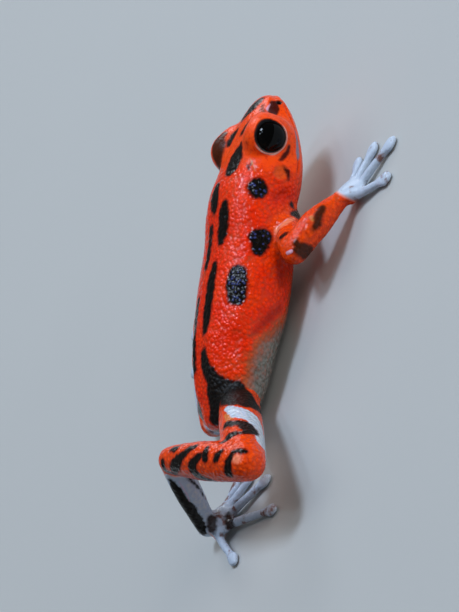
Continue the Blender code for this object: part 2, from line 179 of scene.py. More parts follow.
# Marks are strokes over the skin: rows of points x, y, z and half width, in millimetres.
BLACK_MARKS = {
    "snout": ((-0.38, 0.76, 5.17, 0.36), (-0.11, 1.14, 5.33, 0.50), (0.11, 1.48, 5.42, 0.34),
              (0.44, 1.78, 5.47, 0.22)),
    "brow": ((-0.78, 2.42, 5.54, 0.15), (-0.60, 2.66, 5.61, 0.22), (-0.40, 2.96, 5.66, 0.16)),
    "crown": ((0.49, 2.56, 5.61, 0.12), (0.76, 2.86, 5.62, 0.26), (0.88, 3.34, 5.70, 0.21)),
    "nape": ((-0.80, 3.80, 5.70, 0.10), (-0.76, 4.30, 5.74, 0.45), (-0.70, 4.86, 5.80, 0.66),
             (-0.68, 5.34, 5.84, 0.58)),
    "lid_dot": ((-2.05, 4.17, 6.01, 0.08), (-2.08, 4.19, 5.99, 0.08)),
    "scapular": ((-2.59, 6.63, 4.86, 0.55), (-2.66, 6.75, 4.73, 0.55)),
    "shoulder": ((-2.94, 9.60, 4.18, 0.50), (-3.04, 9.42, 3.82, 0.49), (-2.98, 10.17, 3.95, 0.48)),
    "flank": ((-2.43, 12.03, 4.66, 0.60), (-2.44, 12.65, 4.54, 0.69), (-2.47, 13.21, 4.37, 0.60)),
    "collar_dot": ((-2.71, 6.86, 2.50, 0.14), (-2.68, 6.88, 2.44, 0.14)),
    # The collar is a black patch deepened into painted shade in the crease at the arm's root.
    "collar": ((-3.05, 7.52, 2.28, 0.30), (-2.80, 7.36, 2.00, 0.34), (-2.50, 7.15, 1.80, 0.30)),
    # Painted shade in the crease of the armpit.
    "armpit": ((-4.25, 9.60, 3.33, 0.16), (-4.44, 9.40, 3.21, 0.19)),
    "side_1": ((0.27, 6.49, 6.05, 0.30), (0.22, 7.06, 6.07, 0.46), (0.14, 7.58, 6.04, 0.46),
               (0.06, 8.02, 6.00, 0.26)),
    "side_2": ((0.40, 8.99, 5.84, 0.30), (0.34, 9.56, 5.76, 0.30), (0.34, 10.46, 5.64, 0.30),
               (0.40, 11.28, 5.50, 0.26)),
    "side_3": ((0.95, 13.12, 5.14, 0.20), (1.10, 13.74, 5.00, 0.36), (1.15, 14.36, 4.86, 0.40),
               (1.10, 15.05, 4.76, 0.36), (1.00, 15.85, 4.64, 0.40), (0.95, 16.53, 4.46, 0.36),
               (0.92, 17.14, 4.28, 0.32)),
    "back_1": ((-1.02, 7.76, 5.92, 0.28), (-0.98, 8.27, 5.88, 0.46), (-1.00, 8.82, 5.80, 0.50),
               (-0.97, 9.41, 5.72, 0.51), (-0.93, 9.94, 5.65, 0.34)),
    "back_2": ((-0.64, 11.37, 5.49, 0.28), (-0.64, 11.75, 5.43, 0.36), (-0.56, 12.27, 5.36, 0.40),
               (-0.52, 13.45, 5.17, 0.40), (-0.52, 14.62, 4.96, 0.37), (-0.47, 15.21, 4.86, 0.28)),
    "rump": ((-0.40, 16.50, 4.53, 0.32), (-0.41, 17.00, 4.36, 0.45), (-0.67, 17.55, 4.19, 0.52),
             (-1.10, 18.04, 3.93, 0.51), (-1.55, 18.33, 3.50, 0.50), (-1.98, 18.58, 3.19, 0.55)),
    "rump_low": ((-1.14, 18.62, 3.66, 0.76), (-1.07, 19.18, 3.37, 0.74),
                 (-0.84, 19.74, 3.16, 0.59), (-0.51, 20.13, 3.05, 0.44)),
    # The three groin strokes are painted shade, black, where body and thigh meet above the pale
    # band.
    "groin_side": ((-2.34, 18.33, 2.92, 0.40), (-3.16, 18.81, 2.77, 0.60),
                   (-3.80, 19.22, 2.54, 0.40), (-4.09, 19.52, 2.22, 0.30)),
    "groin_top": ((-1.99, 18.83, 3.27, 0.50), (-3.87, 19.62, 3.40, 0.58),
                  (-4.70, 19.95, 3.15, 0.46)),
    "groin": ((-2.60, 19.00, 3.30, 0.86), (-3.36, 19.31, 3.34, 0.86), (-4.10, 19.65, 3.28, 0.74),
              (-4.55, 19.80, 2.85, 0.60), (-4.58, 19.84, 2.40, 0.40), (-4.10, 19.76, 1.88, 0.36)),
    "thigh_1": ((-5.61, 21.88, 4.38, 0.28), (-6.24, 21.86, 4.27, 0.25), (-6.68, 21.82, 4.00, 0.30),
                (-7.14, 22.04, 3.79, 0.46), (-7.53, 22.32, 3.71, 0.50)),
    "thigh_2": ((-6.62, 23.23, 4.74, 0.20), (-6.80, 22.95, 4.61, 0.34), (-7.15, 22.79, 4.51, 0.25),
                (-7.56, 22.67, 4.24, 0.15), (-7.77, 22.60, 3.92, 0.16)),
    "knee": ((-8.40, 24.22, 4.83, 0.19), (-8.82, 24.14, 4.66, 0.18), (-9.12, 24.15, 4.43, 0.13)),
    "shank_1": ((-1.72, 23.06, 5.57, 0.19), (-2.34, 23.17, 5.57, 0.24)),
    "shank_2": ((-4.57, 23.41, 5.44, 0.19), (-4.00, 23.54, 5.56, 0.28), (-3.56, 23.81, 5.61, 0.32),
                (-2.88, 24.06, 5.55, 0.42), (-1.99, 24.26, 5.29, 0.36)),
    "shank_3": ((-5.85, 23.69, 5.30, 0.17), (-5.89, 24.02, 5.35, 0.28),
                (-6.02, 24.32, 5.31, 0.27)),
    "shank_4": ((-5.50, 24.12, 5.41, 0.19), (-4.88, 24.35, 5.43, 0.31), (-4.50, 24.64, 5.26, 0.44),
                (-4.54, 24.93, 4.88, 0.46), (-4.96, 25.09, 4.53, 0.26),
                (-5.39, 25.17, 4.22, 0.20)),
    "shank_5": ((-7.33, 24.13, 5.07, 0.20), (-7.10, 24.34, 5.13, 0.31),
                (-6.94, 24.49, 5.13, 0.18)),
    "shank_6": ((-8.37, 24.41, 4.86, 0.20), (-8.16, 24.84, 4.82, 0.28),
                (-7.88, 25.23, 4.56, 0.34)),
    "heel": ((-0.87, 23.77, 5.51, 0.28), (-0.64, 24.05, 5.22, 0.20), (-0.94, 24.19, 5.02, 0.16),
             (-1.60, 24.30, 4.90, 0.16)),
    "tarsus": ((-0.30, 24.30, 4.45, 0.24), (-0.10, 24.75, 4.00, 0.44), (0.10, 25.10, 3.40, 0.46),
               (0.25, 25.43, 2.70, 0.50), (0.50, 25.80, 2.05, 0.44), (0.75, 26.12, 1.44, 0.36)),
    # Painted shade along the tarsus's edge.
    "tarsus_shade_edge": ((-0.86, 24.00, 3.80, 0.10), (-0.66, 24.12, 3.07, 0.12),
                    (-0.32, 24.38, 2.36, 0.12)),
}
# The black marks whose grains get a painted blue highlight.
SHEEN_MARKS = ("scapular", "shoulder", "flank")
# The black marks that are dull, not wet.
DULL_MARKS = ("rump", "rump_low", "groin", "groin_top", "groin_side", "thigh_1")
# The same kind of marks on the side that faces away, after the species.
FAR_MARKS = {
    "left_scapular": ((2.45, 6.70, 5.05, 0.50), (2.65, 7.20, 4.80, 0.45)),
    "left_shoulder": ((2.85, 9.60, 4.30, 0.42), (2.95, 10.5, 4.00, 0.48)),
    "left_flank": ((2.55, 12.70, 4.45, 0.55), (2.50, 13.80, 4.20, 0.60)),
    "left_flank_2": ((2.55, 15.90, 3.80, 0.42), (2.35, 16.70, 3.60, 0.38)),
    "left_rump": ((1.60, 18.40, 3.80, 0.50), (1.50, 19.50, 3.10, 0.60)),
    "left_thigh_1": ((3.30, 16.00, 3.30, 0.30), (4.30, 16.40, 2.80, 0.28)),
    "left_thigh_2": ((4.50, 13.90, 3.15, 0.28), (5.40, 14.40, 2.60, 0.26)),
    "left_thigh_3": ((5.80, 11.90, 2.85, 0.30), (6.60, 12.20, 2.60, 0.26)),
    "left_shank_1": ((6.90, 13.40, 1.80, 0.28), (5.80, 13.40, 2.60, 0.22)),
    "left_shank_2": ((6.10, 15.80, 1.60, 0.28), (4.90, 15.80, 2.30, 0.24)),
    "left_shank_3": ((4.70, 18.10, 1.60, 0.30), (4.90, 17.60, 1.10, 0.28)),
    "left_upper_arm": ((3.60, 9.00, 3.10, 0.28), (4.10, 8.60, 2.60, 0.24)),
    "left_elbow": ((5.20, 10.0, 2.80, 0.34), (5.30, 9.60, 2.10, 0.30)),
    "left_forearm": ((5.40, 7.90, 2.50, 0.30), (5.90, 7.80, 1.80, 0.30)),
}
# Dark brown marks with soft edges.
BROWN_MARKS = {
    "lore_inner": ((-1.08, 1.10, 5.14, 0.12), (-1.22, 1.42, 5.18, 0.15), (-1.60, 1.70, 5.24, 0.13),
                   (-2.00, 1.92, 5.28, 0.08)),
    "left_lid": ((1.62, 2.77, 5.93, 0.36), (1.70, 3.29, 6.06, 0.62), (1.66, 3.82, 6.04, 0.60),
                 (1.74, 4.31, 5.88, 0.44), (1.84, 4.71, 5.63, 0.35)),
    "elbow": ((-5.58, 10.10, 2.90, 0.26), (-5.62, 10.35, 2.57, 0.46), (-5.54, 10.33, 2.05, 0.50)),
    "forearm": ((-6.17, 7.74, 2.13, 0.24), (-6.20, 8.18, 2.24, 0.28), (-6.22, 8.68, 2.20, 0.28),
                (-6.10, 9.12, 2.32, 0.18)),
    "foot": ((0.15, 25.46, 1.24, 0.30), (0.11, 25.98, 1.12, 0.37)),
    "foot_side": ((-0.65, 25.21, 0.67, 0.26), (-1.11, 25.76, 0.64, 0.43)),
}
# The dark red lore, and painted shade under the eye, round the ear and in the folds behind the eye,
# alike on both sides.
DARK_RED_AND_SHADE_MARKS = {
    "lore": ((-1.42, 0.92, 4.62, 0.20), (-1.58, 1.29, 4.58, 0.28), (-1.68, 1.58, 4.68, 0.28)),
    "under_eye": ((-2.86, 3.60, 3.63, 0.06), (-2.82, 3.93, 3.62, 0.10), (-2.80, 4.30, 3.74, 0.13),
                  (-2.78, 4.70, 3.94, 0.10)),
    "fold": ((-2.09, 5.08, 5.36, 0.04), (-2.08, 5.30, 5.34, 0.04)),
    "fold_2": ((-1.90, 5.33, 5.46, 0.05), (-2.07, 5.60, 5.38, 0.04)),
    "ear_arc": ((-2.81, 4.91, 3.86, 0.05), (-2.95, 4.98, 3.64, 0.08), (-3.10, 5.20, 3.46, 0.09),
                (-3.16, 5.48, 3.32, 0.08), (-3.12, 5.70, 3.27, 0.04)),
}
# Soft painted shade in the folds of neck and flank and behind the arm, alike on both sides.
SHADE_MARKS = {
    "neck": ((-2.89, 6.90, 3.70, 0.14), (-3.01, 6.33, 3.31, 0.08)),
    "flank": ((-2.96, 13.14, 1.72, 0.26), (-3.11, 13.76, 2.11, 0.28), (-3.08, 14.30, 2.41, 0.20),
              (-2.99, 14.83, 2.69, 0.12), (-2.94, 15.37, 2.98, 0.04)),
    "behind_arm": ((-3.05, 10.80, 2.60, 0.20), (-3.20, 11.80, 2.10, 0.20)),
}
# Golden spots on wrist and groin, and painted golden glints on the ear and on the fold behind the
# eye, alike on both sides.
GOLDEN_AND_GLINT_MARKS = {
    "ear_glint": ((-2.72, 5.09, 4.11, 0.05), (-2.80, 5.06, 3.89, 0.06), (-2.93, 5.22, 3.71, 0.04)),
    "fold_glint": ((-1.96, 4.90, 5.39, 0.04), (-2.14, 5.24, 5.26, 0.05), (-2.37, 5.69, 5.13, 0.04)),
    "wrist_spot": ((-6.00, 8.44, 2.59, 0.13), (-6.08, 8.58, 2.50, 0.13)),
    "groin": ((-4.60, 20.98, 4.14, 0.14), (-5.50, 21.32, 4.16, 0.36)),
}
# Lighter, rosy skin; on the upper arm the rosy band is also the broad part of a painted highlight.
SALMON_AND_HIGHLIGHT_MARKS = {
    # Painted highlight, rosy and broad, round the glint along the upper arm.
    "upper_arm": ((-3.30, 8.90, 3.26, 0.24), (-3.62, 8.41, 3.02, 0.28), (-3.46, 7.95, 2.60, 0.22)),
    "knee": ((-8.55, 24.60, 4.74, 0.26), (-8.80, 24.66, 4.62, 0.28)),
    "shank": ((-5.44, 24.42, 5.14, 0.14), (-5.52, 24.52, 5.06, 0.14)),
}
# Painted glints, pale lilac, on ridges and grains, alike on both sides.
PAINTED_GLINT_MARKS = {
    "canthus": ((-1.72, 1.70, 5.02, 0.05), (-1.46, 1.39, 4.94, 0.09), (-1.36, 1.02, 4.80, 0.06)),
    "elbow": ((-5.10, 10.69, 3.09, 0.10), (-5.35, 10.58, 2.99, 0.10)),
    "upper_arm": ((-3.18, 8.86, 3.38, 0.05), (-3.50, 8.34, 3.16, 0.08), (-3.40, 7.86, 2.78, 0.06)),
    "tarsus": ((-0.66, 24.35, 4.19, 0.03), (-0.55, 24.58, 3.78, 0.05), (-0.42, 24.81, 3.38, 0.05),
               (-0.23, 25.08, 3.04, 0.04)),
    "under_lid": ((-2.71, 2.38, 4.38, 0.04), (-2.75, 2.43, 4.32, 0.05)),
}
# Bluish white areas.
WHITE_MARKS = {
    "thigh_band": ((-3.91, 20.32, 3.89, 0.20), (-4.92, 20.65, 3.89, 0.42),
                   (-5.68, 20.90, 3.70, 0.66), (-6.04, 21.01, 3.34, 0.72),
                   (-6.48, 21.38, 3.02, 0.66), (-7.40, 22.24, 3.04, 0.56),
                   (-8.23, 23.04, 3.12, 0.50)),
    "thigh_under": ((-3.20, 19.90, 1.20, 0.60), (-5.50, 21.60, 1.60, 0.75),
                    (-8.40, 24.10, 2.80, 0.55)),
    "heel": ((-0.30, 24.22, 4.77, 0.20), (-0.59, 24.29, 4.50, 0.14)),
    "tarsus": ((-0.72, 24.40, 3.60, 0.17), (-0.56, 24.62, 3.08, 0.28), (-0.36, 24.88, 2.60, 0.38),
               (-0.18, 25.02, 2.11, 0.38)),
    "ankle": ((0.50, 25.99, 1.51, 0.06), (0.20, 25.66, 1.80, 0.08), (0.03, 25.33, 1.74, 0.14),
              (-0.10, 24.95, 1.30, 0.20), (-0.30, 24.70, 0.95, 0.20)),
    "left_thigh_under": ((2.60, 16.90, 0.90, 0.60), (5.60, 11.80, 0.60, 0.60)),
}
# The lower lid's pale edge: the degrees round the eye between which it begins, then ends.
LID_LINE = (135.0, 160.0, 310.0, 330.0)
LID_LINE_RADIUS = 1.5

# Where each kind of mark fades, in millimetres from the edge of its strokes, and how much the
# grain breaks up that edge.
MARK_EDGES = {
    "shade": (-0.25, 0.35, 1.0),
    "dark_red_and_shade": (-0.03, 0.13, 0.5),
    "golden_and_glint": (-0.04, 0.05, 0.3),
    "salmon_and_highlight": (-0.10, 0.12, 1.0),
    "white": (-0.07, 0.05, 0.8),
    "brown": (-0.14, 0.14, 1.0),
    "black": (-0.07, 0.08, 1.0),
    "sheen": (-0.25, 0.00, 1.0),
    "dull": (-0.10, 0.10, 1.0),
    "painted_glint": (-0.03, 0.04, 0.2),
}
# The same for the dark red fringe round the black marks.
FRINGE_EDGES = (-0.02, 0.20, 1.0)
# Layers of colour laid over the skin: strength and tone. Many are painted light: painted shade
# between the grains, in folds, in the nostrils and round the eyes, and painted highlights on
# grains, ridges, lips and the upper arm.
PAINT = {
    "valley_shade": (0.30, (0.40, 0.006, 0.002)),
    "freckles": (0.42, (0.46, 0.012, 0.002)),
    "belly_edge": (0.80, (0.34, 0.09, 0.03)),
    "ear": (0.45, (0.50, 0.11, 0.018)),
    "shade": (0.60, (0.20, 0.004, 0.001)),
    "dark_red_and_shade": (0.95, (0.020, 0.002, 0.002)),
    "golden_and_glint": (0.80, (0.66, 0.22, 0.05)),
    "salmon_and_highlight": (0.70, (0.95, 0.30, 0.16)),
    "hand_edge": (0.70, (0.86, 0.36, 0.27)),
    "brown": (0.95, (0.024, 0.009, 0.003)),
    "fringe": (0.80, (0.14, 0.006, 0.002)),
    "sheen": (0.85, (0.040, 0.052, 0.19)),
    "painted_glint": (0.75, (0.72, 0.46, 0.62)),
    "lip_highlight": (0.85, (0.15, 0.21, 0.31)),
    "lip_line": (0.95, (0.020, 0.006, 0.010)),
    # Painted shade in the nostril pits, reaching over their rims.
    "nostril": (1.0, (0.004, 0.003, 0.003)),
    # Painted shade on the skin tucked inside the lids, in the gap round each eye.
    "rim": (1.0, (0.006, 0.005, 0.006)),
    "lid_line": (0.90, (0.50, 0.56, 0.52)),
}
# The second tone of mottled places, and what turns red and orange into theirs.
BELLY_MOTTLE = (0.10, 0.09, 0.07)
HAND_BLOTCH = (0.20, 0.10, 0.085)
WHITE_MOTTLE = (0.62, 0.66, 0.70)
BLACK_MOTTLE = (0.011, 0.006, 0.002)
RED_MOTTLE = (1.05, 1.7, 1.4)
ORANGE_MOTTLE = (0.92, 0.62, 0.6)
# Gloss: mirroring of the surface itself, then strength and roughness of the clear coat.
SKIN_GLOSS = (0.23, 0.04, 0.16)
EYE_GLOSS = (0.08, 0.18, 0.03)
GRAINS_PER_MM = 4.2
BUMP_DEPTH = 0.00007


def colour_setting(name, description, default):
    """A setting that holds one colour."""
    return bpy.props.FloatVectorProperty(
        name=name, description=description, default=default,
        size=3, subtype="COLOR", min=0.0, max=1.0)


class FrogSettings(bpy.types.PropertyGroup):
    """Fineness and colours of the skin, and the floor's colour."""

    skin_detail: bpy.props.FloatProperty(
        name="Skin detail", description="Size of the skin's faces, in millimetres",
        default=0.106, min=0.06, max=0.4)
    granule_height: bpy.props.FloatProperty(
        name="Granule height", description="How far the grains of the skin stand up",
        default=0.000032, min=0.0, max=0.0002, unit="LENGTH", precision=6)
    granule_spacing: bpy.props.FloatProperty(
        name="Granule spacing", description="Distance from one grain of the skin to the next",
        default=0.00029, min=0.0001, max=0.001, unit="LENGTH", precision=6)
    red: colour_setting("Red", "Main colour of back and flanks", (0.92, 0.027, 0.001))
    orange: colour_setting("Orange", "Colour of head and limbs", (0.97, 0.085, 0.004))
    black: colour_setting("Black", "Colour of the marks", (0.0035, 0.0030, 0.0030))
    white: colour_setting("Bluish white", "Colour of feet and thigh bands", (0.49, 0.58, 0.71))
    belly: colour_setting("Belly grey", "Colour of the mottled underside", (0.21, 0.22, 0.20))
    floor: colour_setting("Floor", "Colour of the plain floor", (0.50, 0.51, 0.50))


def spline_rows(rows, steps):
    """Rows of numbers on a Catmull-Rom curve through the given rows."""
    padded = [rows[0]] + list(rows) + [rows[-1]]
    result = []
    for i in range(1, len(padded) - 2):
        before, start, end, after = padded[i - 1:i + 3]
        for step in range(steps):
            t = step / steps
            result.append([
                0.5 * (2 * b + (c - a) * t + (2 * a - 5 * b + 4 * c - d) * t * t
                       + (3 * b - a - 3 * c + d) * t ** 3)
                for a, b, c, d in zip(before, start, end, after)
            ])
    result.append(list(rows[-1]))
    return result


def placed(side, place):
    """A point given by its distance out from the middle plane, on one side of the frog."""
    out, back, height = place
    return Vector((side * out, back, height))


def add_loft(bm, first_pole, rings, last_pole):
    """Adds a closed surface over rings of equal count, with a point at each end."""
    loops = [[bm.verts.new(p) for p in ring] for ring in rings]
    count = len(loops[0])
    faces = []
    for low, high in zip(loops, loops[1:]):
        for k in range(count):
            j = (k + 1) % count
            faces.append(bm.faces.new((low[k], low[j], high[j], high[k])))
    for pole, loop in ((first_pole, loops[0]), (last_pole, loops[-1])):
        tip = bm.verts.new(pole)
        for k in range(count):
            faces.append(bm.faces.new((tip, loop[k], loop[(k + 1) % count])))
    bmesh.ops.recalc_face_normals(bm, faces=faces)


def trunk_ring(section, count):
    """One upright outline of head or torso."""
    back, top, bottom, half_width, fullness, narrowing = section
    middle = (top + bottom) / 2
    half_height = (top - bottom) / 2
    power = 2 / fullness
    ring = []
    for k in range(count):
        angle = 2 * math.pi * k / count
        c, s = math.cos(angle), math.sin(angle)
        rise = math.copysign(abs(s) ** power, s)
        out = math.copysign(abs(c) ** power, c) * half_width * (1 - narrowing * rise)
        ring.append(Vector((out, back, middle + half_height * rise)))
    return ring


def add_trunk(bm):
    """Head and torso as one closed body, from snout to vent."""
    sections = spline_rows(TRUNK_SECTIONS, 5)
    rings = [trunk_ring(section, 72) for section in sections[1:-1]]
    poles = [Vector((0.0, s[0], (s[1] + s[2]) / 2)) for s in (sections[0], sections[-1])]
    add_loft(bm, poles[0], rings, poles[1])


def add_tube(bm, rows, sides, steps):
    """A limb or digit: rows are x, y, z, half width and half height; both ends are rounded."""
    rows = spline_rows(rows, steps)
    centres = [Vector(row[:3]) for row in rows]
    frames = []
    for i in range(len(centres)):
        ahead = centres[min(i + 1, len(centres) - 1)] - centres[max(i - 1, 0)]
        ahead.normalize()
        side = ahead.cross(UP).normalized()
        frames.append((ahead, side, side.cross(ahead)))

    def ring(i, shift, scale):
        ahead, side, lift = frames[i]
        half_width, half_height = rows[i][3] * scale, rows[i][4] * scale
        middle = centres[i] + ahead * shift
        angles = [2 * math.pi * k / sides for k in range(sides)]
        return [middle + side * half_width * math.cos(a) + lift * half_height * math.sin(a)
                for a in angles]

    caps = [math.radians(angle) for angle in (72, 50, 25)]
    start_reach, end_reach = min(rows[0][3:]), min(rows[-1][3:])
    rings = [ring(0, -start_reach * math.sin(a), math.cos(a)) for a in caps]
    rings += [ring(i, 0.0, 1.0) for i in range(len(rows))]
    rings += [ring(-1, end_reach * math.sin(a), math.cos(a)) for a in reversed(caps)]
    first = centres[0] - frames[0][0] * start_reach
    last = centres[-1] + frames[-1][0] * end_reach
    add_loft(bm, first, rings, last)


def segment_rows(side, name):
    """Centre line and radii of one limb segment: x, y, z, radius."""
    root, far, radii, sag = SEGMENTS[name]
    joints = ARM_JOINTS if name in ("upper_arm", "forearm") else LEG_JOINTS
    start, end = (placed(side, joints[side][key]) for key in (root, far))
    points = (start, (start + end) / 2 + UP * sag, end)
    return [(*point, radius) for point, radius in zip(points, radii)]


def bearing_vector(side, degrees):
    """Level direction at a bearing outwards from straight ahead."""
    angle = math.radians(degrees)
    return Vector((side * math.sin(angle), -math.cos(angle), 0.0))


def add_pad(bm, root, side, bearing, plan):
    """The palm of a hand or the sole of a foot, flat and widest at its knuckles."""
    length, widths = plan
    ahead = bearing_vector(side, bearing)
    rows = []
    for share, half_width in zip((0.0, 0.5, 1.0), widths):
        point = root + ahead * length * share
        point.z = root.z + (0.5 - root.z) * share
        rows.append((*point, half_width, 0.52 - 0.2 * share))
    add_tube(bm, rows, 24, 5)


def digit_rows(side, root, bearing, reach, disc):
    """Centre line of a finger or toe, with its disc standing on the floor."""
    ahead = bearing_vector(side, bearing)
    middle = (reach + 0.9) / 2 - 0.3
    plan = (
        (0.35, 0.50, 0.30, 0.28),
        (0.90, 0.50, 0.29, 0.27),
        (middle, 0.39, 0.28, 0.26),
        (reach - 0.97, 0.28, 0.25, 0.24),
        (reach - 0.55, 0.24, disc * 0.82, 0.23),
        (reach - 0.25, 0.22, disc * 1.02, 0.22),
        (reach + 0.06, 0.20, disc * 0.84, 0.19),
        (reach + 0.20, 0.18, disc * 0.55, 0.15),
    )
    rows = []
    for distance, height, half_width, half_height in plan:
        point = Vector((root.x, root.y, height)) + ahead * distance
        rows.append((*point, half_width, half_height))
    return rows


def hand_and_foot_plans():
    """For each hand and foot: side, root, directions of its digits, pad and disc size."""
    for side in SIDES:
        yield side, placed(side, ARM_JOINTS[side]["wrist"]), FINGERS[side], PALM, FINGER_DISC
        yield side, placed(side, LEG_JOINTS[side]["ankle"]), TOES[side], SOLE, TOE_DISC


def rough_body():
    """All forms of the body as closed shells that overlap, in one mesh."""
    bm = bmesh.new()
    add_trunk(bm)
    for side in SIDES:
        for name in SEGMENTS:
            rows = [(*row, row[3]) for row in segment_rows(side, name)]
            add_tube(bm, rows, 28, 6)
        for place, radius in ((EYE_PLACE, LID_RADIUS), (BROW_PLACE, BROW_RADIUS)):
            ball = bmesh.ops.create_uvsphere(bm, u_segments=40, v_segments=24, radius=radius)
            bmesh.ops.translate(bm, verts=ball["verts"], vec=placed(side, place))
    for side, root, directions, pad, disc in hand_and_foot_plans():
        bearings = [bearing for bearing, reach in directions]
        add_pad(bm, root, side, sum(bearings) / len(bearings), pad)
        for bearing, reach in directions:
            add_tube(bm, digit_rows(side, root, bearing, reach, disc), 16, 4)
    mesh = bpy.data.meshes.new("frog_skin")
    bm.to_mesh(mesh)
    bm.free()
    return mesh


def link_object(name, data):
    """A new object in the scene, made of the given mesh, light or camera."""
    obj = bpy.data.objects.new(name, data)
    bpy.context.scene.collection.objects.link(obj)
    return obj


def bake_modifiers(obj):
    """Replaces an object's mesh by what its modifiers make of it."""
    graph = bpy.context.evaluated_depsgraph_get()
    mesh = bpy.data.meshes.new_from_object(obj.evaluated_get(graph))
    obj.modifiers.clear()
    obj.data = mesh


def one_surface(obj, size):
    """Turns overlapping shells into one even surface."""
    modifier = obj.modifiers.new("one surface", "REMESH")
    modifier.mode = "VOXEL"
    modifier.voxel_size = size
    modifier.use_smooth_shade = True
    bake_modifiers(obj)


class Surface:
    """The skin's points, normals and edges as arrays, for shaping."""

    def __init__(self, mesh):
        self.mesh = mesh
        self.points = np.zeros(len(mesh.vertices) * 3)
        mesh.vertices.foreach_get("co", self.points)
        self.points = self.points.reshape(-1, 3)
        edges = np.zeros(len(mesh.edges) * 2, np.int64)
        mesh.edges.foreach_get("vertices", edges)
        self.edges = edges.reshape(-1, 2)
        self.links = np.bincount(self.edges.ravel(), minlength=len(self.points))

    def store(self):
        """Writes the points back to the mesh."""
        self.mesh.vertices.foreach_set("co", self.points.astype(np.float32).ravel())
        self.mesh.update()

    def normals(self):
        """Outward directions at the points as they stand now."""
        self.store()
        found = np.zeros(len(self.points) * 3, np.float32)
        self.mesh.vertices.foreach_get("normal", found)
        return found.reshape(-1, 3).astype(float)

    def push(self, amount):
        """Moves each point along its normal by its own amount."""
        self.points += self.normals() * amount[:, None]

    def relax(self, weights, rounds):
        """Evens out the surface where the weights say so."""
        low, high = self.edges[:, 0], self.edges[:, 1]
        count = len(self.points)
        share = (weights * 0.5)[:, None]
        for _ in range(rounds):
            total = np.empty_like(self.points)
            for axis in range(3):
                values = self.points[:, axis]
                total[:, axis] = (np.bincount(low, values[high], count)
                                  + np.bincount(high, values[low], count))
            self.points += (total / self.links[:, None] - self.points) * share


def line_distance(points, rows):
    """Distance to a line of tapering thickness: below zero inside it. Rows are x, y, z, radius."""
    best = np.full(len(points), 1e9)
    rows = np.array(rows, float)
    for start, end in zip(rows, rows[1:]):
        along = end[:3] - start[:3]
        t = np.clip((points - start[:3]) @ along / (along @ along + 1e-12), 0.0, 1.0)
        near = start[:3] + t[:, None] * along
        radius = start[3] + t * (end[3] - start[3])
        best = np.minimum(best, np.linalg.norm(points - near, axis=1) - radius)
    return best


def trunk_distance(points):
    """Rough distance outside head and torso."""
    sections = np.array(spline_rows(TRUNK_SECTIONS, 5))
    back = np.maximum(points[:, 1], 0.05)
    top, bottom, half_width = (np.interp(back, sections[:, 0], sections[:, i]) for i in (1, 2, 3))
    middle, half_height = (top + bottom) / 2, (top - bottom) / 2
    x, z = points[:, 0], points[:, 2] - middle
    level = np.sqrt((x / half_width) ** 2 + (z / half_height) ** 2) + 1e-6
    return np.hypot(x, z) * (1 - 1 / level)


def bell(distance, width):
    """One at distance zero, fading smoothly away over the width."""
    return np.exp(-(distance / width) ** 2)


def ramp(value, low, high):
    """A smooth step from zero at low to one at high."""
    t = np.clip((value - low) / (high - low), 0.0, 1.0)
    return t * t * (3 - 2 * t)


def eye_coordinates(points, side):
    """Distance from an eye's centre, angle from its axis, and angle round it from the front."""
    centre = np.array(placed(side, EYE_PLACE))
    axis = np.array(placed(side, EYE_DIRECTION).normalized())
    ahead = np.array((0.0, -1.0, 0.0))
    ahead = ahead - axis * (ahead @ axis)
    ahead /= np.linalg.norm(ahead)
    lift = np.cross(axis, ahead) * -side
    offset = points - centre
    radius = np.linalg.norm(offset, axis=1) + 1e-9
    off_axis = np.arccos(np.clip(offset @ axis / radius, -1.0, 1.0))
    around = np.arctan2(offset @ lift, offset @ ahead)
    return radius, off_axis, around


def lid_margin(around):
    """Angle from the eye's axis at which the lids begin, all the way round."""
    wrapped = [(place + turn, opening) for turn in (-360, 0, 360) for place, opening in LID_OPENING]
    places, openings = np.array(spline_rows(wrapped, 6)).T
    return np.radians(np.interp(np.degrees(around), places, openings))


def lid_thickness(around):
    """How far the edge of the lid stands out from the eye: most at the top."""
    lift = (0.5 + 0.5 * np.sin(around)) ** 1.5
    return LOWER_LID_THICKNESS + (UPPER_LID_THICKNESS - LOWER_LID_THICKNESS) * lift


def margin_distance(points, side):
    """How far outside the opening of the lids each point lies, in millimetres along the eye."""
    radius, off_axis, around = eye_coordinates(points, side)
    outside = (off_axis - lid_margin(around)) * EYE_RADIUS
    return np.where(radius < AROUND_EYE, outside, FAR_AWAY)


def mouth_lines():
    """The line of the mouth on each side, from the snout to its corner behind the eye."""
    sections = np.array(spline_rows(TRUNK_SECTIONS, 12))
    heights = np.array(MOUTH_HEIGHTS)
    lines = []
    for side in SIDES:
        rows = [(0.0, -0.02, MOUTH_HEIGHTS[0][1], 0.0)]
        for back in np.linspace(0.12, MOUTH_HEIGHTS[-1][0], 24):
            top, bottom, half_width, fullness, narrowing = (
                np.interp(back, sections[:, 0], sections[:, i]) for i in range(1, 6))
            height = np.interp(back, heights[:, 0], heights[:, 1])
            rise = (2 * height - top - bottom) / (top - bottom)
            out = (1 - abs(rise) ** fullness) ** (1 / fullness) * half_width
            out *= 1 - narrowing * rise
            rows.append((side * out, back, height, 0.0))
        lines.append(rows)
    return lines


def refine_face(mesh):
    """Divides the faces again along lids and mouth, where the finest forms are."""
    bm = bmesh.new()
    bm.from_mesh(mesh)
    bm.verts.ensure_lookup_table()
    points = np.array([vert.co for vert in bm.verts])
    fine = np.zeros(len(points), bool)
    for side in SIDES:
        outside = margin_distance(points, side)
        fine |= (outside > -0.22) & (outside < 0.34)
        fine |= np.linalg.norm(points - np.array(placed(side, NOSTRIL_PLACE)), axis=1) < 0.4
    for line in mouth_lines():
        fine |= line_distance(points, line) < 0.2
    edges = [edge for edge in bm.edges if fine[edge.verts[0].index] and fine[edge.verts[1].index]]
    bmesh.ops.subdivide_edges(bm, edges=edges, cuts=1, use_grid_fill=True)
    bmesh.ops.triangulate(bm, faces=[face for face in bm.faces if len(face.verts) > 4])
    bm.to_mesh(mesh)
    bm.free()


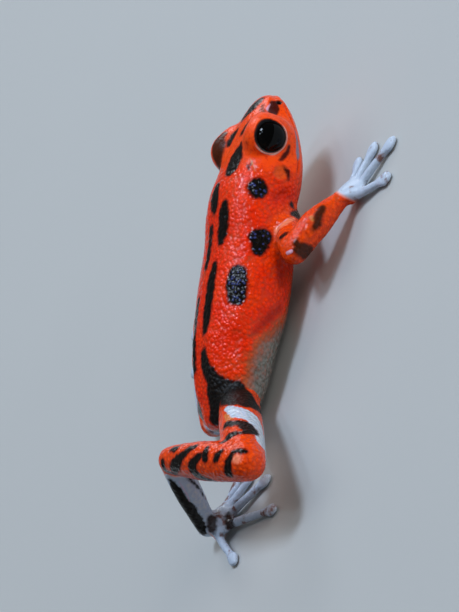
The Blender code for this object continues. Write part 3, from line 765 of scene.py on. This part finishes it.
def shape_joins(skin):
    """Rounds the places where limbs leave the body and digits leave hands and feet."""
    points = skin.points
    trunk = np.abs(trunk_distance(points))
    weights = np.zeros(len(points))
    for side in SIDES:
        for name in ("upper_arm", "thigh"):
            limb = np.abs(line_distance(points, segment_rows(side, name)))
            weights = np.maximum(weights, bell(np.maximum(limb, trunk), 0.42))
        for first, second in (("upper_arm", "forearm"), ("thigh", "shank"), ("shank", "tarsus")):
            near = np.abs(line_distance(points, segment_rows(side, first)))
            far = np.abs(line_distance(points, segment_rows(side, second)))
            weights = np.maximum(weights, 0.5 * bell(np.maximum(near, far), 0.22))
        radius, off_axis, around = eye_coordinates(points, side)
        brow = np.linalg.norm(points - np.array(placed(side, BROW_PLACE)), axis=1) - BROW_RADIUS
        lid = np.abs(radius - LID_RADIUS)
        for first, second in ((lid, trunk), (np.abs(brow), trunk), (lid, np.abs(brow))):
            weights = np.maximum(weights, bell(np.maximum(first, second), 0.30))
    skin.relax(weights, EVEN_ROUNDS["joins"])
    knuckles = np.zeros(len(points))
    for side, root, directions, (length, widths), disc in hand_and_foot_plans():
        away = np.linalg.norm(points - np.array(root), axis=1)
        knuckles = np.maximum(knuckles, bell(away - length, 0.7))
    skin.relax(knuckles, EVEN_ROUNDS["knuckles"])


def form_heights(points, forms):
    """How far low forms on both sides move the points: outwards, or inwards below zero."""
    amount = np.zeros(len(points))
    for own in (points, points * MIRROR):
        for height, spread, line in forms.values():
            rows = [(*point, 0.0) for point in (line[0], *line)]
            amount += height * bell(line_distance(own, rows), spread)
    return amount


def ear_distance(points):
    """Distance from the middle of the left ear, mostly counted along the side of the head."""
    return np.linalg.norm((points - np.array(EAR_PLACE)) * np.array((0.5, 1.0, 1.0)), axis=1)


def shape_head(skin):
    """Nostrils, the edge of the snout, ears, the line of the mouth and the lips."""
    points = skin.points
    amount = form_heights(points, HEAD_FORMS)
    for own in (points, points * MIRROR):
        ear = ear_distance(own)
        amount += EAR_RIM_HEIGHT * bell(ear - EAR_RADIUS, 0.09)
        amount -= EAR_DEPTH * (1 - ramp(ear, 0.25, 0.5))
    mouth_height = np.interp(points[:, 1], *np.array(MOUTH_HEIGHTS).T)
    above = ramp(points[:, 2] - mouth_height, -0.05, 0.12)
    for line in mouth_lines():
        near = line_distance(points, line)
        amount += LIP_HEIGHT * bell(near - LIP_DISTANCE, LIP_WIDTH) * (0.35 + 0.65 * above)
        amount -= MOUTH_DEPTH * bell(near, MOUTH_WIDTH)
    skin.push(amount)
    pits = np.zeros(len(points))
    for side in SIDES:
        away = np.linalg.norm(skin.points - np.array(placed(side, NOSTRIL_PLACE)), axis=1)
        pits += NOSTRIL_RIM_HEIGHT * bell(away - 2 * NOSTRIL_RADIUS, 0.09)
        pits -= NOSTRIL_DEPTH * bell(away, NOSTRIL_RADIUS)
    skin.push(pits)


def shape_lids(skin):
    """Opens the lids over the eyes, with the skin inside the opening tucked away behind the eye."""
    for side in SIDES:
        radius, off_axis, around = eye_coordinates(skin.points, side)
        outside = margin_distance(skin.points, side)
        centre = np.array(placed(side, EYE_PLACE))
        direction = (skin.points - centre) / radius[:, None]
        margin = EYE_RADIUS + lid_thickness(around)
        thinned = margin + (radius - margin) * ramp(outside, 0.05, LID_REACH)
        tucked = EYE_RADIUS - LID_TUCK
        inner = tucked + (margin - tucked) * ramp(outside, -0.09, 0.0)
        target = np.where(outside > 0, thinned, inner)
        target = np.where((outside < LID_REACH) & (off_axis < 2.0), target, radius)
        target = radius + (target - radius) * (1 - ramp(radius, 1.6, 2.1))
        skin.points = centre + direction * target[:, None]
        around_lids = ramp(outside, 0.06, 0.2) * (1 - ramp(outside, 0.6, 1.0))
        around_lids = np.where(radius < AROUND_EYE, around_lids, 0.0)
        skin.relax(around_lids, EVEN_ROUNDS["lids"])


def shape_body(skin):
    """Shoulder blades, hips, the waist and the folds beside arms and legs."""
    points = skin.points
    back, height = points[:, 1], points[:, 2]
    flank = ramp(np.abs(points[:, 0]), 1.6, 2.8) * ramp(back, 7.5, 10.0) * ramp(-back, -18.5, -16.0)
    ripple = np.sin(back * 2.3 + height * 1.1 + np.sin(height * 2.1))
    skin.push(form_heights(points, BODY_FORMS) + FLANK_RIPPLE * flank * ripple)


def store_values(mesh, name, values):
    """Keeps one number for each point of the mesh, for the skin's material."""
    attribute = mesh.attributes.new(name, "FLOAT", "POINT")
    attribute.data.foreach_set("value", values.astype(np.float32))


def nearest_mark(points, marks):
    """Distance to the nearest of several strokes, below zero inside them."""
    return np.minimum.reduce([line_distance(points, stroke) for stroke in marks.values()])


def limb_distances(points):
    """Distances to the nearest limb, and to the nearest pale part of a limb."""
    limbs = np.full(len(points), FAR_AWAY)
    pale = np.full(len(points), FAR_AWAY)
    for side in SIDES:
        for name in SEGMENTS:
            near = line_distance(points, segment_rows(side, name))
            limbs = np.minimum(limbs, near)
            if name == "tarsus":
                rows = np.array(segment_rows(side, name))
                rows[0] += PALE_FROM_HEEL * (rows[-1] - rows[0])
                pale = np.minimum(pale, line_distance(points, rows))
    for side, root, directions, (length, widths), disc in hand_and_foot_plans():
        reach = max(reach for bearing, reach in directions)
        away = np.linalg.norm(points - np.array(root), axis=1) - reach - 0.7
        bearing = sum(bearing for bearing, reach in directions) / len(directions)
        behind = 0.5 - (points - np.array(root)) @ np.array(bearing_vector(side, bearing))
        high = points[:, 2] - 1.5
        pale = np.minimum(pale, np.maximum.reduce([away, behind, high]))
    return limbs, pale


def belly_share(points, limbs):
    """How far the mottled grey of the belly reaches up the flank: one on the belly itself."""
    sections = np.array(spline_rows(TRUNK_SECTIONS, 5))
    top, bottom = (np.interp(points[:, 1], sections[:, 0], sections[:, i]) for i in (1, 2))
    rise = (points[:, 2] - bottom) / (top - bottom)
    edge = 0.05 + 0.52 * ramp(points[:, 1], 12.0, 17.0)
    share = ramp(edge - rise, -0.20, 0.22) * ramp(points[:, 1], 6.0, 12.0)
    return np.where((limbs > 0.05) & (trunk_distance(points) < 0.4), share, 0.0)


def mark_skin(skin):
    """Keeps what the skin's material needs for its colours and grain, for every point."""
    points, mesh = skin.points, skin.mesh
    right_half = np.where(points[:, :1] > 0, points * MIRROR, points)
    values = {
        "black": nearest_mark(points, {**BLACK_MARKS, **FAR_MARKS}),
        "brown": nearest_mark(points, BROWN_MARKS),
        "sheen": nearest_mark(right_half, {name: BLACK_MARKS[name] for name in SHEEN_MARKS}),
        "dull": nearest_mark(points, {name: BLACK_MARKS[name] for name in DULL_MARKS}),
        "white": nearest_mark(points, WHITE_MARKS),
        "dark_red_and_shade": nearest_mark(right_half, DARK_RED_AND_SHADE_MARKS),
        "shade": nearest_mark(right_half, SHADE_MARKS),
        "golden_and_glint": nearest_mark(right_half, GOLDEN_AND_GLINT_MARKS),
        "salmon_and_highlight": nearest_mark(points, SALMON_AND_HIGHLIGHT_MARKS),
        "painted_glint": nearest_mark(right_half, PAINTED_GLINT_MARKS),
    }
    back = points[:, 1]
    limbs, pale = limb_distances(points)
    values["belly"] = belly_share(points, limbs)
    values["limb"] = np.clip(1 - ramp(limbs, 0.0, 0.8) + ramp(-back, -6.5, -4.0), 0, 1)
    values["hand"] = 1 - ramp(pale, 0.0, 0.35)
    rim = np.full(len(points), FAR_AWAY)
    from_eye = np.full(len(points), FAR_AWAY)
    lid_line = np.zeros(len(points))
    for side in SIDES:
        radius, off_axis, around = eye_coordinates(points, side)
        degrees = np.degrees(around) % 360
        on_line = ramp(degrees, *LID_LINE[:2]) * (1 - ramp(degrees, *LID_LINE[2:]))
        own_rim = margin_distance(points, side)
        own_line = bell(own_rim - 0.025, 0.03) * on_line * (radius < LID_LINE_RADIUS)
        lid_line = np.maximum(lid_line, own_line)
        rim = np.minimum(rim, own_rim)
        from_eye = np.minimum(from_eye, radius)
    values["rim"] = rim
    values["lid_line"] = lid_line
    lips = np.minimum.reduce([line_distance(points, mouth) for mouth in mouth_lines()])
    # Painted highlight, grey-blue, along the lips from before the eye to behind it.
    lip_highlight = bell(lips - 0.03, 0.10) * ramp(back, 1.9, 2.7) * (1 - ramp(back, 3.8, 4.5))
    values["lip_highlight"] = lip_highlight
    values["lip_line"] = bell(lips, 0.045) * (0.35 + 0.65 * ramp(back, 3.0, 3.7))
    values["ear"] = ear_distance(right_half * MIRROR)
    nostril = placed(RIGHT, NOSTRIL_PLACE)
    values["nostril"] = np.linalg.norm(right_half - np.array(nostril), axis=1)
    grain = 0.40 + 0.60 * ramp(back, 4.5, 6.5)
    grain *= 0.3 + 0.7 * ramp(from_eye, 1.6, 2.3)
    grain *= ramp(rim, 0.05, 0.4) * ramp(lips, 0.1, 0.5) * (0.35 + 0.65 * ramp(pale, 0.0, 0.35))
    values["grain"] = grain
    for name, amounts in values.items():
        store_values(mesh, name, amounts)


def granule_tree(material):
    """Geometry nodes that raise small rounded grains all over the skin."""
    tree = bpy.data.node_groups.new("skin granules", "GeometryNodeTree")
    inputs = {}
    for name, kind in (("Geometry", "Geometry"), ("Spacing", "Float"), ("Height", "Float")):
        inputs[name] = tree.interface.new_socket(
            name, in_out="INPUT", socket_type="NodeSocket" + kind)
    tree.interface.new_socket("Geometry", in_out="OUTPUT", socket_type="NodeSocketGeometry")
    n = Nodes(tree)
    source = n.add("NodeGroupInput")
    grain = n.add("GeometryNodeInputNamedAttribute", data_type="FLOAT")
    grain.inputs["Name"].default_value = "grain"
    density = n.math("DIVIDE", 1.0, source.outputs["Spacing"])
    cells = n.cells(n.add("GeometryNodeInputPosition").outputs[0], density, 0.35)
    height = n.math("MULTIPLY", n.math("SUBTRACT", 0.5, cells), source.outputs["Height"])
    height = n.math("MULTIPLY", height, grain.outputs["Attribute"])
    move = n.add("GeometryNodeSetPosition")
    n.feed(move.inputs["Geometry"], source.outputs["Geometry"])
    n.feed(move.inputs["Offset"], n.scale(n.add("GeometryNodeInputNormal").outputs[0], height))
    realize = n.add("GeometryNodeRealizeInstances")
    n.feed(realize.inputs[0], move.outputs[0])
    paint = n.add("GeometryNodeSetMaterial")
    paint.inputs["Material"].default_value = material
    n.feed(paint.inputs["Geometry"], realize.outputs[0])
    n.feed(n.add("NodeGroupOutput").inputs[0], paint.outputs[0])
    return tree, inputs["Spacing"].identifier, inputs["Height"].identifier


def raise_granules(obj, settings, material):
    """Runs the granule tree on the finished skin."""
    tree, spacing, height = granule_tree(material)
    modifier = obj.modifiers.new("granules", "NODES")
    modifier.node_group = tree
    modifier[spacing] = settings.granule_spacing
    modifier[height] = settings.granule_height
    bake_modifiers(obj)


def to_metres(mesh):
    """Moves a mesh to the frog's origin and turns it from millimetres into metres."""
    mesh.transform(Matrix.Scale(MM, 4) @ Matrix.Translation(-FLOOR_CENTRE))


class Nodes:
    """Short ways to add and join nodes."""

    def __init__(self, tree):
        self.tree = tree

    def add(self, kind, **values):
        node = self.tree.nodes.new(kind)
        for key, value in values.items():
            setattr(node, key, value)
        return node

    def feed(self, socket, value):
        if isinstance(value, bpy.types.NodeSocket):
            self.tree.links.new(value, socket)
        else:
            socket.default_value = value

    def math(self, operation, first, second):
        node = self.add("ShaderNodeMath", operation=operation)
        self.feed(node.inputs[0], first)
        self.feed(node.inputs[1], second)
        return node.outputs[0]

    def scale(self, vector, factor):
        node = self.add("ShaderNodeVectorMath", operation="SCALE")
        self.feed(node.inputs[0], vector)
        self.feed(node.inputs["Scale"], factor)
        return node.outputs[0]

    def attribute(self, name):
        return self.add("ShaderNodeAttribute", attribute_name=name).outputs["Fac"]

    def step(self, value, low, high):
        """A smooth step of a value from zero at low to one at high."""
        node = self.add("ShaderNodeMapRange", interpolation_type="SMOOTHSTEP")
        self.feed(node.inputs["Value"], value)
        node.inputs["From Min"].default_value = low
        node.inputs["From Max"].default_value = high
        return node.outputs["Result"]

    def fall(self, value, low, high):
        """A smooth step of a value from one at low to zero at high."""
        return self.math("SUBTRACT", 1.0, self.step(value, low, high))

    def mix(self, factor, first, second):
        node = self.add("ShaderNodeMix", data_type="RGBA")
        self.feed(node.inputs["Factor"], factor)
        self.feed(node.inputs[6], first)
        self.feed(node.inputs[7], second)
        return node.outputs[2]

    def noise(self, vector, scale, detail=2.0, roughness=0.5):
        node = self.add("ShaderNodeTexNoise")
        self.feed(node.inputs["Vector"], vector)
        node.inputs["Scale"].default_value = scale
        node.inputs["Detail"].default_value = detail
        node.inputs["Roughness"].default_value = roughness
        return node.outputs["Fac"]

    def cells(self, vector, scale, smoothness):
        """Distance from the middle of the nearest grain, with soft edges between grains."""
        node = self.add("ShaderNodeTexVoronoi", feature="SMOOTH_F1")
        self.feed(node.inputs["Vector"], vector)
        self.feed(node.inputs["Scale"], scale)
        node.inputs["Smoothness"].default_value = smoothness
        return node.outputs["Distance"]


def rgba(colour):
    """A colour that hides what lies behind it."""
    return (*colour, 1.0)


def new_material(name):
    """A material with its Principled shader, and helpers to build its nodes."""
    material = bpy.data.materials.new(name)
    material.use_nodes = True
    nodes = Nodes(material.node_tree)
    return material, nodes, material.node_tree.nodes["Principled BSDF"]


def millimetres(nodes):
    """The place on the piece, counted in millimetres."""
    return nodes.scale(nodes.add("ShaderNodeTexCoord").outputs["Object"], PER_METRE)


def shades(colour, factors):
    """A colour with each of its channels made stronger or weaker."""
    return rgba([channel * factor for channel, factor in zip(colour, factors)])


def set_gloss(shader, gloss):
    """Sets how a material mirrors light."""
    for socket, value in zip(("Specular IOR Level", "Coat Weight", "Coat Roughness"), gloss):
        shader.inputs[socket].default_value = value


def skin_material(settings):
    """Wet granular skin: red and orange with black marks, bluish white and mottled grey."""
    material, n, shader = new_material("granular_red_skin")
    place = millimetres(n)
    broad = n.noise(place, 1.6, 2.0, 0.5)
    fine = n.noise(place, 5.0, 4.0, 0.6)
    cells = n.cells(place, GRAINS_PER_MM, 0.25)
    wander = 0.0
    for value, middle, share in ((broad, 0.5, 0.24), (fine, 0.5, 0.10), (cells, 0.35, 0.13)):
        part = n.math("MULTIPLY", n.math("SUBTRACT", value, middle), share)
        wander = n.math("ADD", wander, part)

    def inside(name, edges=None):
        """One within the strokes of a kind, fading to zero at their edges."""
        low, high, wobble = edges or MARK_EDGES[name]
        edge = n.math("ADD", n.attribute(name), n.math("MULTIPLY", wander, wobble))
        return n.fall(edge, low, high)

    def paint(colour, name, share):
        """The colour with one layer laid over it, as far as the share says."""
        strength, tone = PAINT[name]
        return n.mix(n.math("MULTIPLY", share, strength), colour, rgba(tone))

    tone = n.noise(place, 0.55, 3.0, 0.55)
    red = n.mix(n.step(tone, 0.35, 0.7), rgba(settings.red), shades(settings.red, RED_MOTTLE))
    orange = n.mix(n.step(fine, 0.35, 0.75), rgba(settings.orange),
                   shades(settings.orange, ORANGE_MOTTLE))
    colour = n.mix(n.math("MULTIPLY", n.attribute("limb"), 0.9), red, orange)
    # Painted shade in the valleys between the grains.
    valley_shade = n.math("MULTIPLY", n.step(cells, 0.28, 0.60), n.attribute("grain"))
    colour = paint(colour, "valley_shade", valley_shade)
    colour = paint(colour, "freckles", n.step(fine, 0.54, 0.70))

    grey_tone = n.mix(n.step(fine, 0.35, 0.75), rgba(settings.belly), rgba(BELLY_MOTTLE))
    belly = n.math("ADD", n.attribute("belly"), n.math("MULTIPLY", wander, 2.2))
    colour = paint(colour, "belly_edge", n.step(belly, 0.0, 0.50))
    colour = n.mix(n.step(belly, 0.40, 1.15), colour, grey_tone)
    colour = paint(colour, "ear", n.fall(n.attribute("ear"), 0.32, 0.50))
    # Painted shade in folds and under the eyes, the dark red lore, golden spots with painted
    # glints, and rosy skin with a painted highlight.
    for name in ("shade", "dark_red_and_shade", "golden_and_glint", "salmon_and_highlight"):
        colour = paint(colour, name, inside(name))

    hand = n.attribute("hand")
    colour = paint(colour, "hand_edge", n.step(hand, 0.0, 0.4))
    blotches = n.step(n.noise(place, 1.1, 3.0, 0.6), 0.54, 0.68)
    hand_tone = n.mix(blotches, rgba(settings.white), rgba(HAND_BLOTCH))
    colour = n.mix(n.step(hand, 0.25, 1.0), colour, hand_tone)
    white_tone = n.mix(n.step(fine, 0.4, 0.7), rgba(settings.white), rgba(WHITE_MOTTLE))
    colour = n.mix(inside("white"), colour, white_tone)

    colour = paint(colour, "brown", inside("brown"))
    off_hand = n.math("SUBTRACT", 1.0, hand)
    fringe = n.math("MULTIPLY", inside("black", FRINGE_EDGES), off_hand)
    colour = paint(colour, "fringe", fringe)
    black_tone = n.mix(n.step(fine, 0.4, 0.75), rgba(settings.black), rgba(BLACK_MOTTLE))
    colour = n.mix(inside("black"), colour, black_tone)
    # A painted blue highlight on the grains of some black marks, painted glints, a painted
    # highlight along the lips, the dark mouth line, painted shade in nostrils and lid gaps, and the
    # pale lower lid edge.
    for name, share in (
        ("sheen", n.math("MULTIPLY", n.fall(cells, 0.16, 0.42), inside("sheen"))),
        ("painted_glint", inside("painted_glint")),
        ("lip_highlight", n.step(n.attribute("lip_highlight"), 0.15, 0.6)),
        ("lip_line", n.attribute("lip_line")),
        ("nostril", n.fall(n.attribute("nostril"), 0.14, 0.27)),
        ("rim", n.fall(n.attribute("rim"), -0.03, 0.0)),
        ("lid_line", n.attribute("lid_line")),
    ):
        colour = paint(colour, name, share)
    n.feed(shader.inputs["Base Color"], colour)

    rough = 0.09
    smooth_skin = n.math("SUBTRACT", 1.0, n.attribute("grain"))
    for value, share in ((smooth_skin, 0.20), (fine, 0.12), (inside("dull"), 0.34)):
        rough = n.math("ADD", rough, n.math("MULTIPLY", value, share))
    n.feed(shader.inputs["Roughness"], rough)
    set_gloss(shader, SKIN_GLOSS)

    grains = n.math("MULTIPLY", n.math("SUBTRACT", 0.6, cells), n.attribute("grain"))
    pores = n.math("MULTIPLY", n.noise(place, 9.0), 0.25)
    bump = n.add("ShaderNodeBump")
    bump.inputs["Strength"].default_value = 1.0
    bump.inputs["Distance"].default_value = BUMP_DEPTH
    n.feed(bump.inputs["Height"], n.math("ADD", grains, pores))
    n.feed(shader.inputs["Normal"], bump.outputs[0])
    return material


EYE_BLACK = (0.002, 0.002, 0.002)
IRIS_BROWN = (0.008, 0.005, 0.003)
PUPIL_BLACK = (0.001, 0.001, 0.001)
# Degrees from the eye's axis between which the pupil ends.
PUPIL_EDGE = (30.0, 44.0)
# The clear front of the eye bulges by this share of its radius, out to this many degrees.
CORNEA_BULGE = 0.015
CORNEA_EDGE = 55.0


def eye_material():
    """A glossy black eye, with a dark iris that just shows round the pupil."""
    material, n, shader = new_material("glossy_black_eye")
    place = millimetres(n)
    streaks = n.noise(place, 6.0, 4.0, 0.6)
    iris = n.mix(n.step(streaks, 0.45, 0.7), rgba(EYE_BLACK), rgba(IRIS_BROWN))
    pupil = n.fall(n.attribute("off_axis"), *PUPIL_EDGE)
    colour = n.mix(pupil, iris, rgba(PUPIL_BLACK))
    n.feed(shader.inputs["Base Color"], colour)
    n.feed(shader.inputs["Roughness"], n.math("ADD", 0.03, n.math("MULTIPLY", streaks, 0.04)))
    set_gloss(shader, EYE_GLOSS)
    return material


def floor_material(settings):
    """A plain pale studio floor."""
    material, n, shader = new_material("studio_floor")
    place = millimetres(n)
    tone = n.noise(place, 0.05, 2.0)
    colour = n.mix(tone, rgba(settings.floor), shades(settings.floor, (0.97, 0.97, 0.97)))
    n.feed(shader.inputs["Base Color"], colour)
    shader.inputs["Roughness"].default_value = 0.85
    return material


def finish_piece(obj, material, nodes):
    """Smooth shading, material, and the CAD solids that the piece stands for."""
    obj.data.shade_smooth()
    obj.data.materials.clear()
    obj.data.materials.append(material)
    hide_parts(*nodes)
    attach(obj, "root")


class FROG_OT_skin(bpy.types.Operator):
    """One skin over head, torso, limbs and digits"""

    bl_idname = "frog.skin"
    bl_label = "Skin"

    def execute(self, context):
        settings = context.scene.frog
        obj = link_object("frog_skin", rough_body())
        one_surface(obj, settings.skin_detail)
        skin = Surface(obj.data)
        skin.relax(np.ones(len(skin.points)), EVEN_ROUNDS["whole"])
        limbs, pale = limb_distances(skin.points)
        off_limbs = ramp(limbs, 0.1, 0.6) * ramp(pale, 0.1, 0.6)
        skin.relax(off_limbs, EVEN_ROUNDS["trunk"])
        shape_joins(skin)
        shape_body(skin)
        skin.store()
        refine_face(obj.data)
        skin = Surface(obj.data)
        shape_head(skin)
        shape_lids(skin)
        skin.points[:, 2] = np.maximum(skin.points[:, 2], 0.0)
        skin.store()
        mark_skin(skin)
        to_metres(obj.data)
        material = skin_material(settings)
        raise_granules(obj, settings, material)
        flesh = [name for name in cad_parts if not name.endswith("_eye")]
        finish_piece(obj, material, flesh)
        return {"FINISHED"}


class FROG_OT_eyes(bpy.types.Operator):
    """Both eyes, glossy and black"""

    bl_idname = "frog.eyes"
    bl_label = "Eyes"

    def execute(self, context):
        material = eye_material()
        for side in SIDES:
            axis = placed(side, EYE_DIRECTION).normalized()
            turn = axis.to_track_quat("Z", "Y").to_matrix().to_4x4()
            bm = bmesh.new()
            bmesh.ops.create_uvsphere(bm, u_segments=96, v_segments=64, radius=EYE_RADIUS)
            for vert in bm.verts:
                angle = math.degrees(UP.angle(vert.co))
                vert.co *= 1 + CORNEA_BULGE * max(0.0, 1 - (angle / CORNEA_EDGE) ** 2)
            bmesh.ops.transform(bm, matrix=turn, verts=bm.verts)
            bmesh.ops.translate(bm, vec=placed(side, EYE_PLACE), verts=bm.verts)
            mesh = bpy.data.meshes.new("eye")
            bm.to_mesh(mesh)
            bm.free()
            points = np.array([vert.co for vert in mesh.vertices])
            radius, off_axis, around = eye_coordinates(points, side)
            store_values(mesh, "off_axis", np.degrees(off_axis))
            to_metres(mesh)
            name = SIDE_NAMES[side] + "_eye"
            finish_piece(link_object(name + "ball", mesh), material, [name])
        return {"FINISHED"}


# The camera: its place in the frog's own millimetres, the directions from the frog towards it and
# up in its picture, and its focal length and sensor width in millimetres.
CAMERA_PLACE = (-254.6, 110.2, 114.5)
CAMERA_BACK = Vector((-0.865, 0.330, 0.377))
CAMERA_UP = Vector((-0.194, -0.915, 0.354))
CAMERA_LENS = 300.0
CAMERA_SENSOR = 36.0
FLOOR_HALF_WIDTH = 1.5

WORLD_COLOUR = (0.92, 0.96, 1.0)
WORLD_STRENGTH = 0.09
SKY_BLUE = (0.66, 0.80, 1.0)
# Soft boxes: direction they shine from, distance and width in metres, power in watts, colour, and
# whether glossy skin mirrors them.
SOFT_BOXES = {
    "sky": ((-0.14, -0.42, 0.90), 0.45, 0.095, 1.05, SKY_BLUE, True),
    "gap_1": ((0.12, -0.30, 0.95), 0.45, 0.030, 0.09, SKY_BLUE, True),
    "gap_2": ((-0.17, -0.04, 0.98), 0.45, 0.045, 0.13, SKY_BLUE, True),
    "gap_3": ((-0.34, -0.20, 0.92), 0.45, 0.030, 0.08, SKY_BLUE, True),
    "over_the_back": ((0.55, -0.25, 0.80), 0.50, 0.30, 0.55, (1.0, 0.99, 0.97), False),
    "camera_side": ((-0.88, -0.42, 0.28), 0.55, 0.40, 1.70, (1.0, 0.98, 0.95), False),
    "window": ((0.55, -0.72, 0.43), 0.40, 0.12, 0.25, (0.86, 0.93, 1.0), True),
}


def add_floor(settings):
    """The plain floor that the frog stands on."""
    bm = bmesh.new()
    bmesh.ops.create_grid(bm, x_segments=8, y_segments=8, size=FLOOR_HALF_WIDTH)
    mesh = bpy.data.meshes.new("floor")
    bm.to_mesh(mesh)
    bm.free()
    floor = link_object("floor", mesh)
    mesh.materials.append(floor_material(settings))


def add_soft_box(name, direction, distance, width, power, colour, in_gloss):
    """A square lamp that shines on the frog."""
    light = bpy.data.lights.new(name, "AREA")
    light.energy = power
    light.color = colour
    light.shape = "SQUARE"
    light.size = width
    lamp = link_object(name, light)
    lamp.visible_glossy = in_gloss
    towards = Vector(direction).normalized()
    lamp.location = towards * distance
    lamp.rotation_euler = towards.to_track_quat("Z", "Y").to_euler()


def add_camera():
    """A long lens that sees the frog's right side, with its head at the top of the picture."""
    back = CAMERA_BACK.normalized()
    right = CAMERA_UP.cross(back).normalized()
    turn = Matrix((right, back.cross(right), back)).transposed().to_4x4()
    place = (Vector(CAMERA_PLACE) - FLOOR_CENTRE) * MM
    camera = link_object("camera", bpy.data.cameras.new("camera"))
    camera.matrix_world = Matrix.Translation(place) @ turn
    camera.data.lens = CAMERA_LENS
    camera.data.sensor_width = CAMERA_SENSOR
    camera.data.sensor_fit = "AUTO"
    camera.data.clip_start = 0.01
    camera.data.clip_end = 10.0
    return camera


class FROG_OT_stage(bpy.types.Operator):
    """Plain floor, soft light and the camera"""

    bl_idname = "frog.stage"
    bl_label = "Stage"

    def execute(self, context):
        scene = context.scene
        add_floor(scene.frog)
        scene.world = bpy.data.worlds.new("studio")
        scene.world.use_nodes = True
        background = scene.world.node_tree.nodes["Background"]
        background.inputs["Color"].default_value = rgba(WORLD_COLOUR)
        background.inputs["Strength"].default_value = WORLD_STRENGTH
        for name, box in SOFT_BOXES.items():
            add_soft_box(name, *box)
        scene.camera = add_camera()
        scene.view_settings.view_transform = "Standard"
        return {"FINISHED"}


class FROG_PT_panel(bpy.types.Panel):
    """Builds the frog piece by piece"""

    bl_label = "Frog"
    bl_idname = "FROG_PT_panel"
    bl_space_type = "VIEW_3D"
    bl_region_type = "UI"
    bl_category = "Frog"

    def draw(self, context):
        settings = context.scene.frog
        for name in FrogSettings.__annotations__:
            self.layout.prop(settings, name)
        for operator in OPERATORS:
            self.layout.operator(operator.bl_idname)


OPERATORS = (FROG_OT_skin, FROG_OT_eyes, FROG_OT_stage)
CLASSES = (FrogSettings, *OPERATORS, FROG_PT_panel)


def register():
    for cls in CLASSES:
        bpy.utils.register_class(cls)
    bpy.types.Scene.frog = bpy.props.PointerProperty(type=FrogSettings)


def unregister():
    del bpy.types.Scene.frog
    for cls in reversed(CLASSES):
        bpy.utils.unregister_class(cls)


def main():
    register()
    bpy.ops.frog.skin()
    bpy.ops.frog.eyes()
    bpy.ops.frog.stage()


if __name__ == "__main__":
    main()
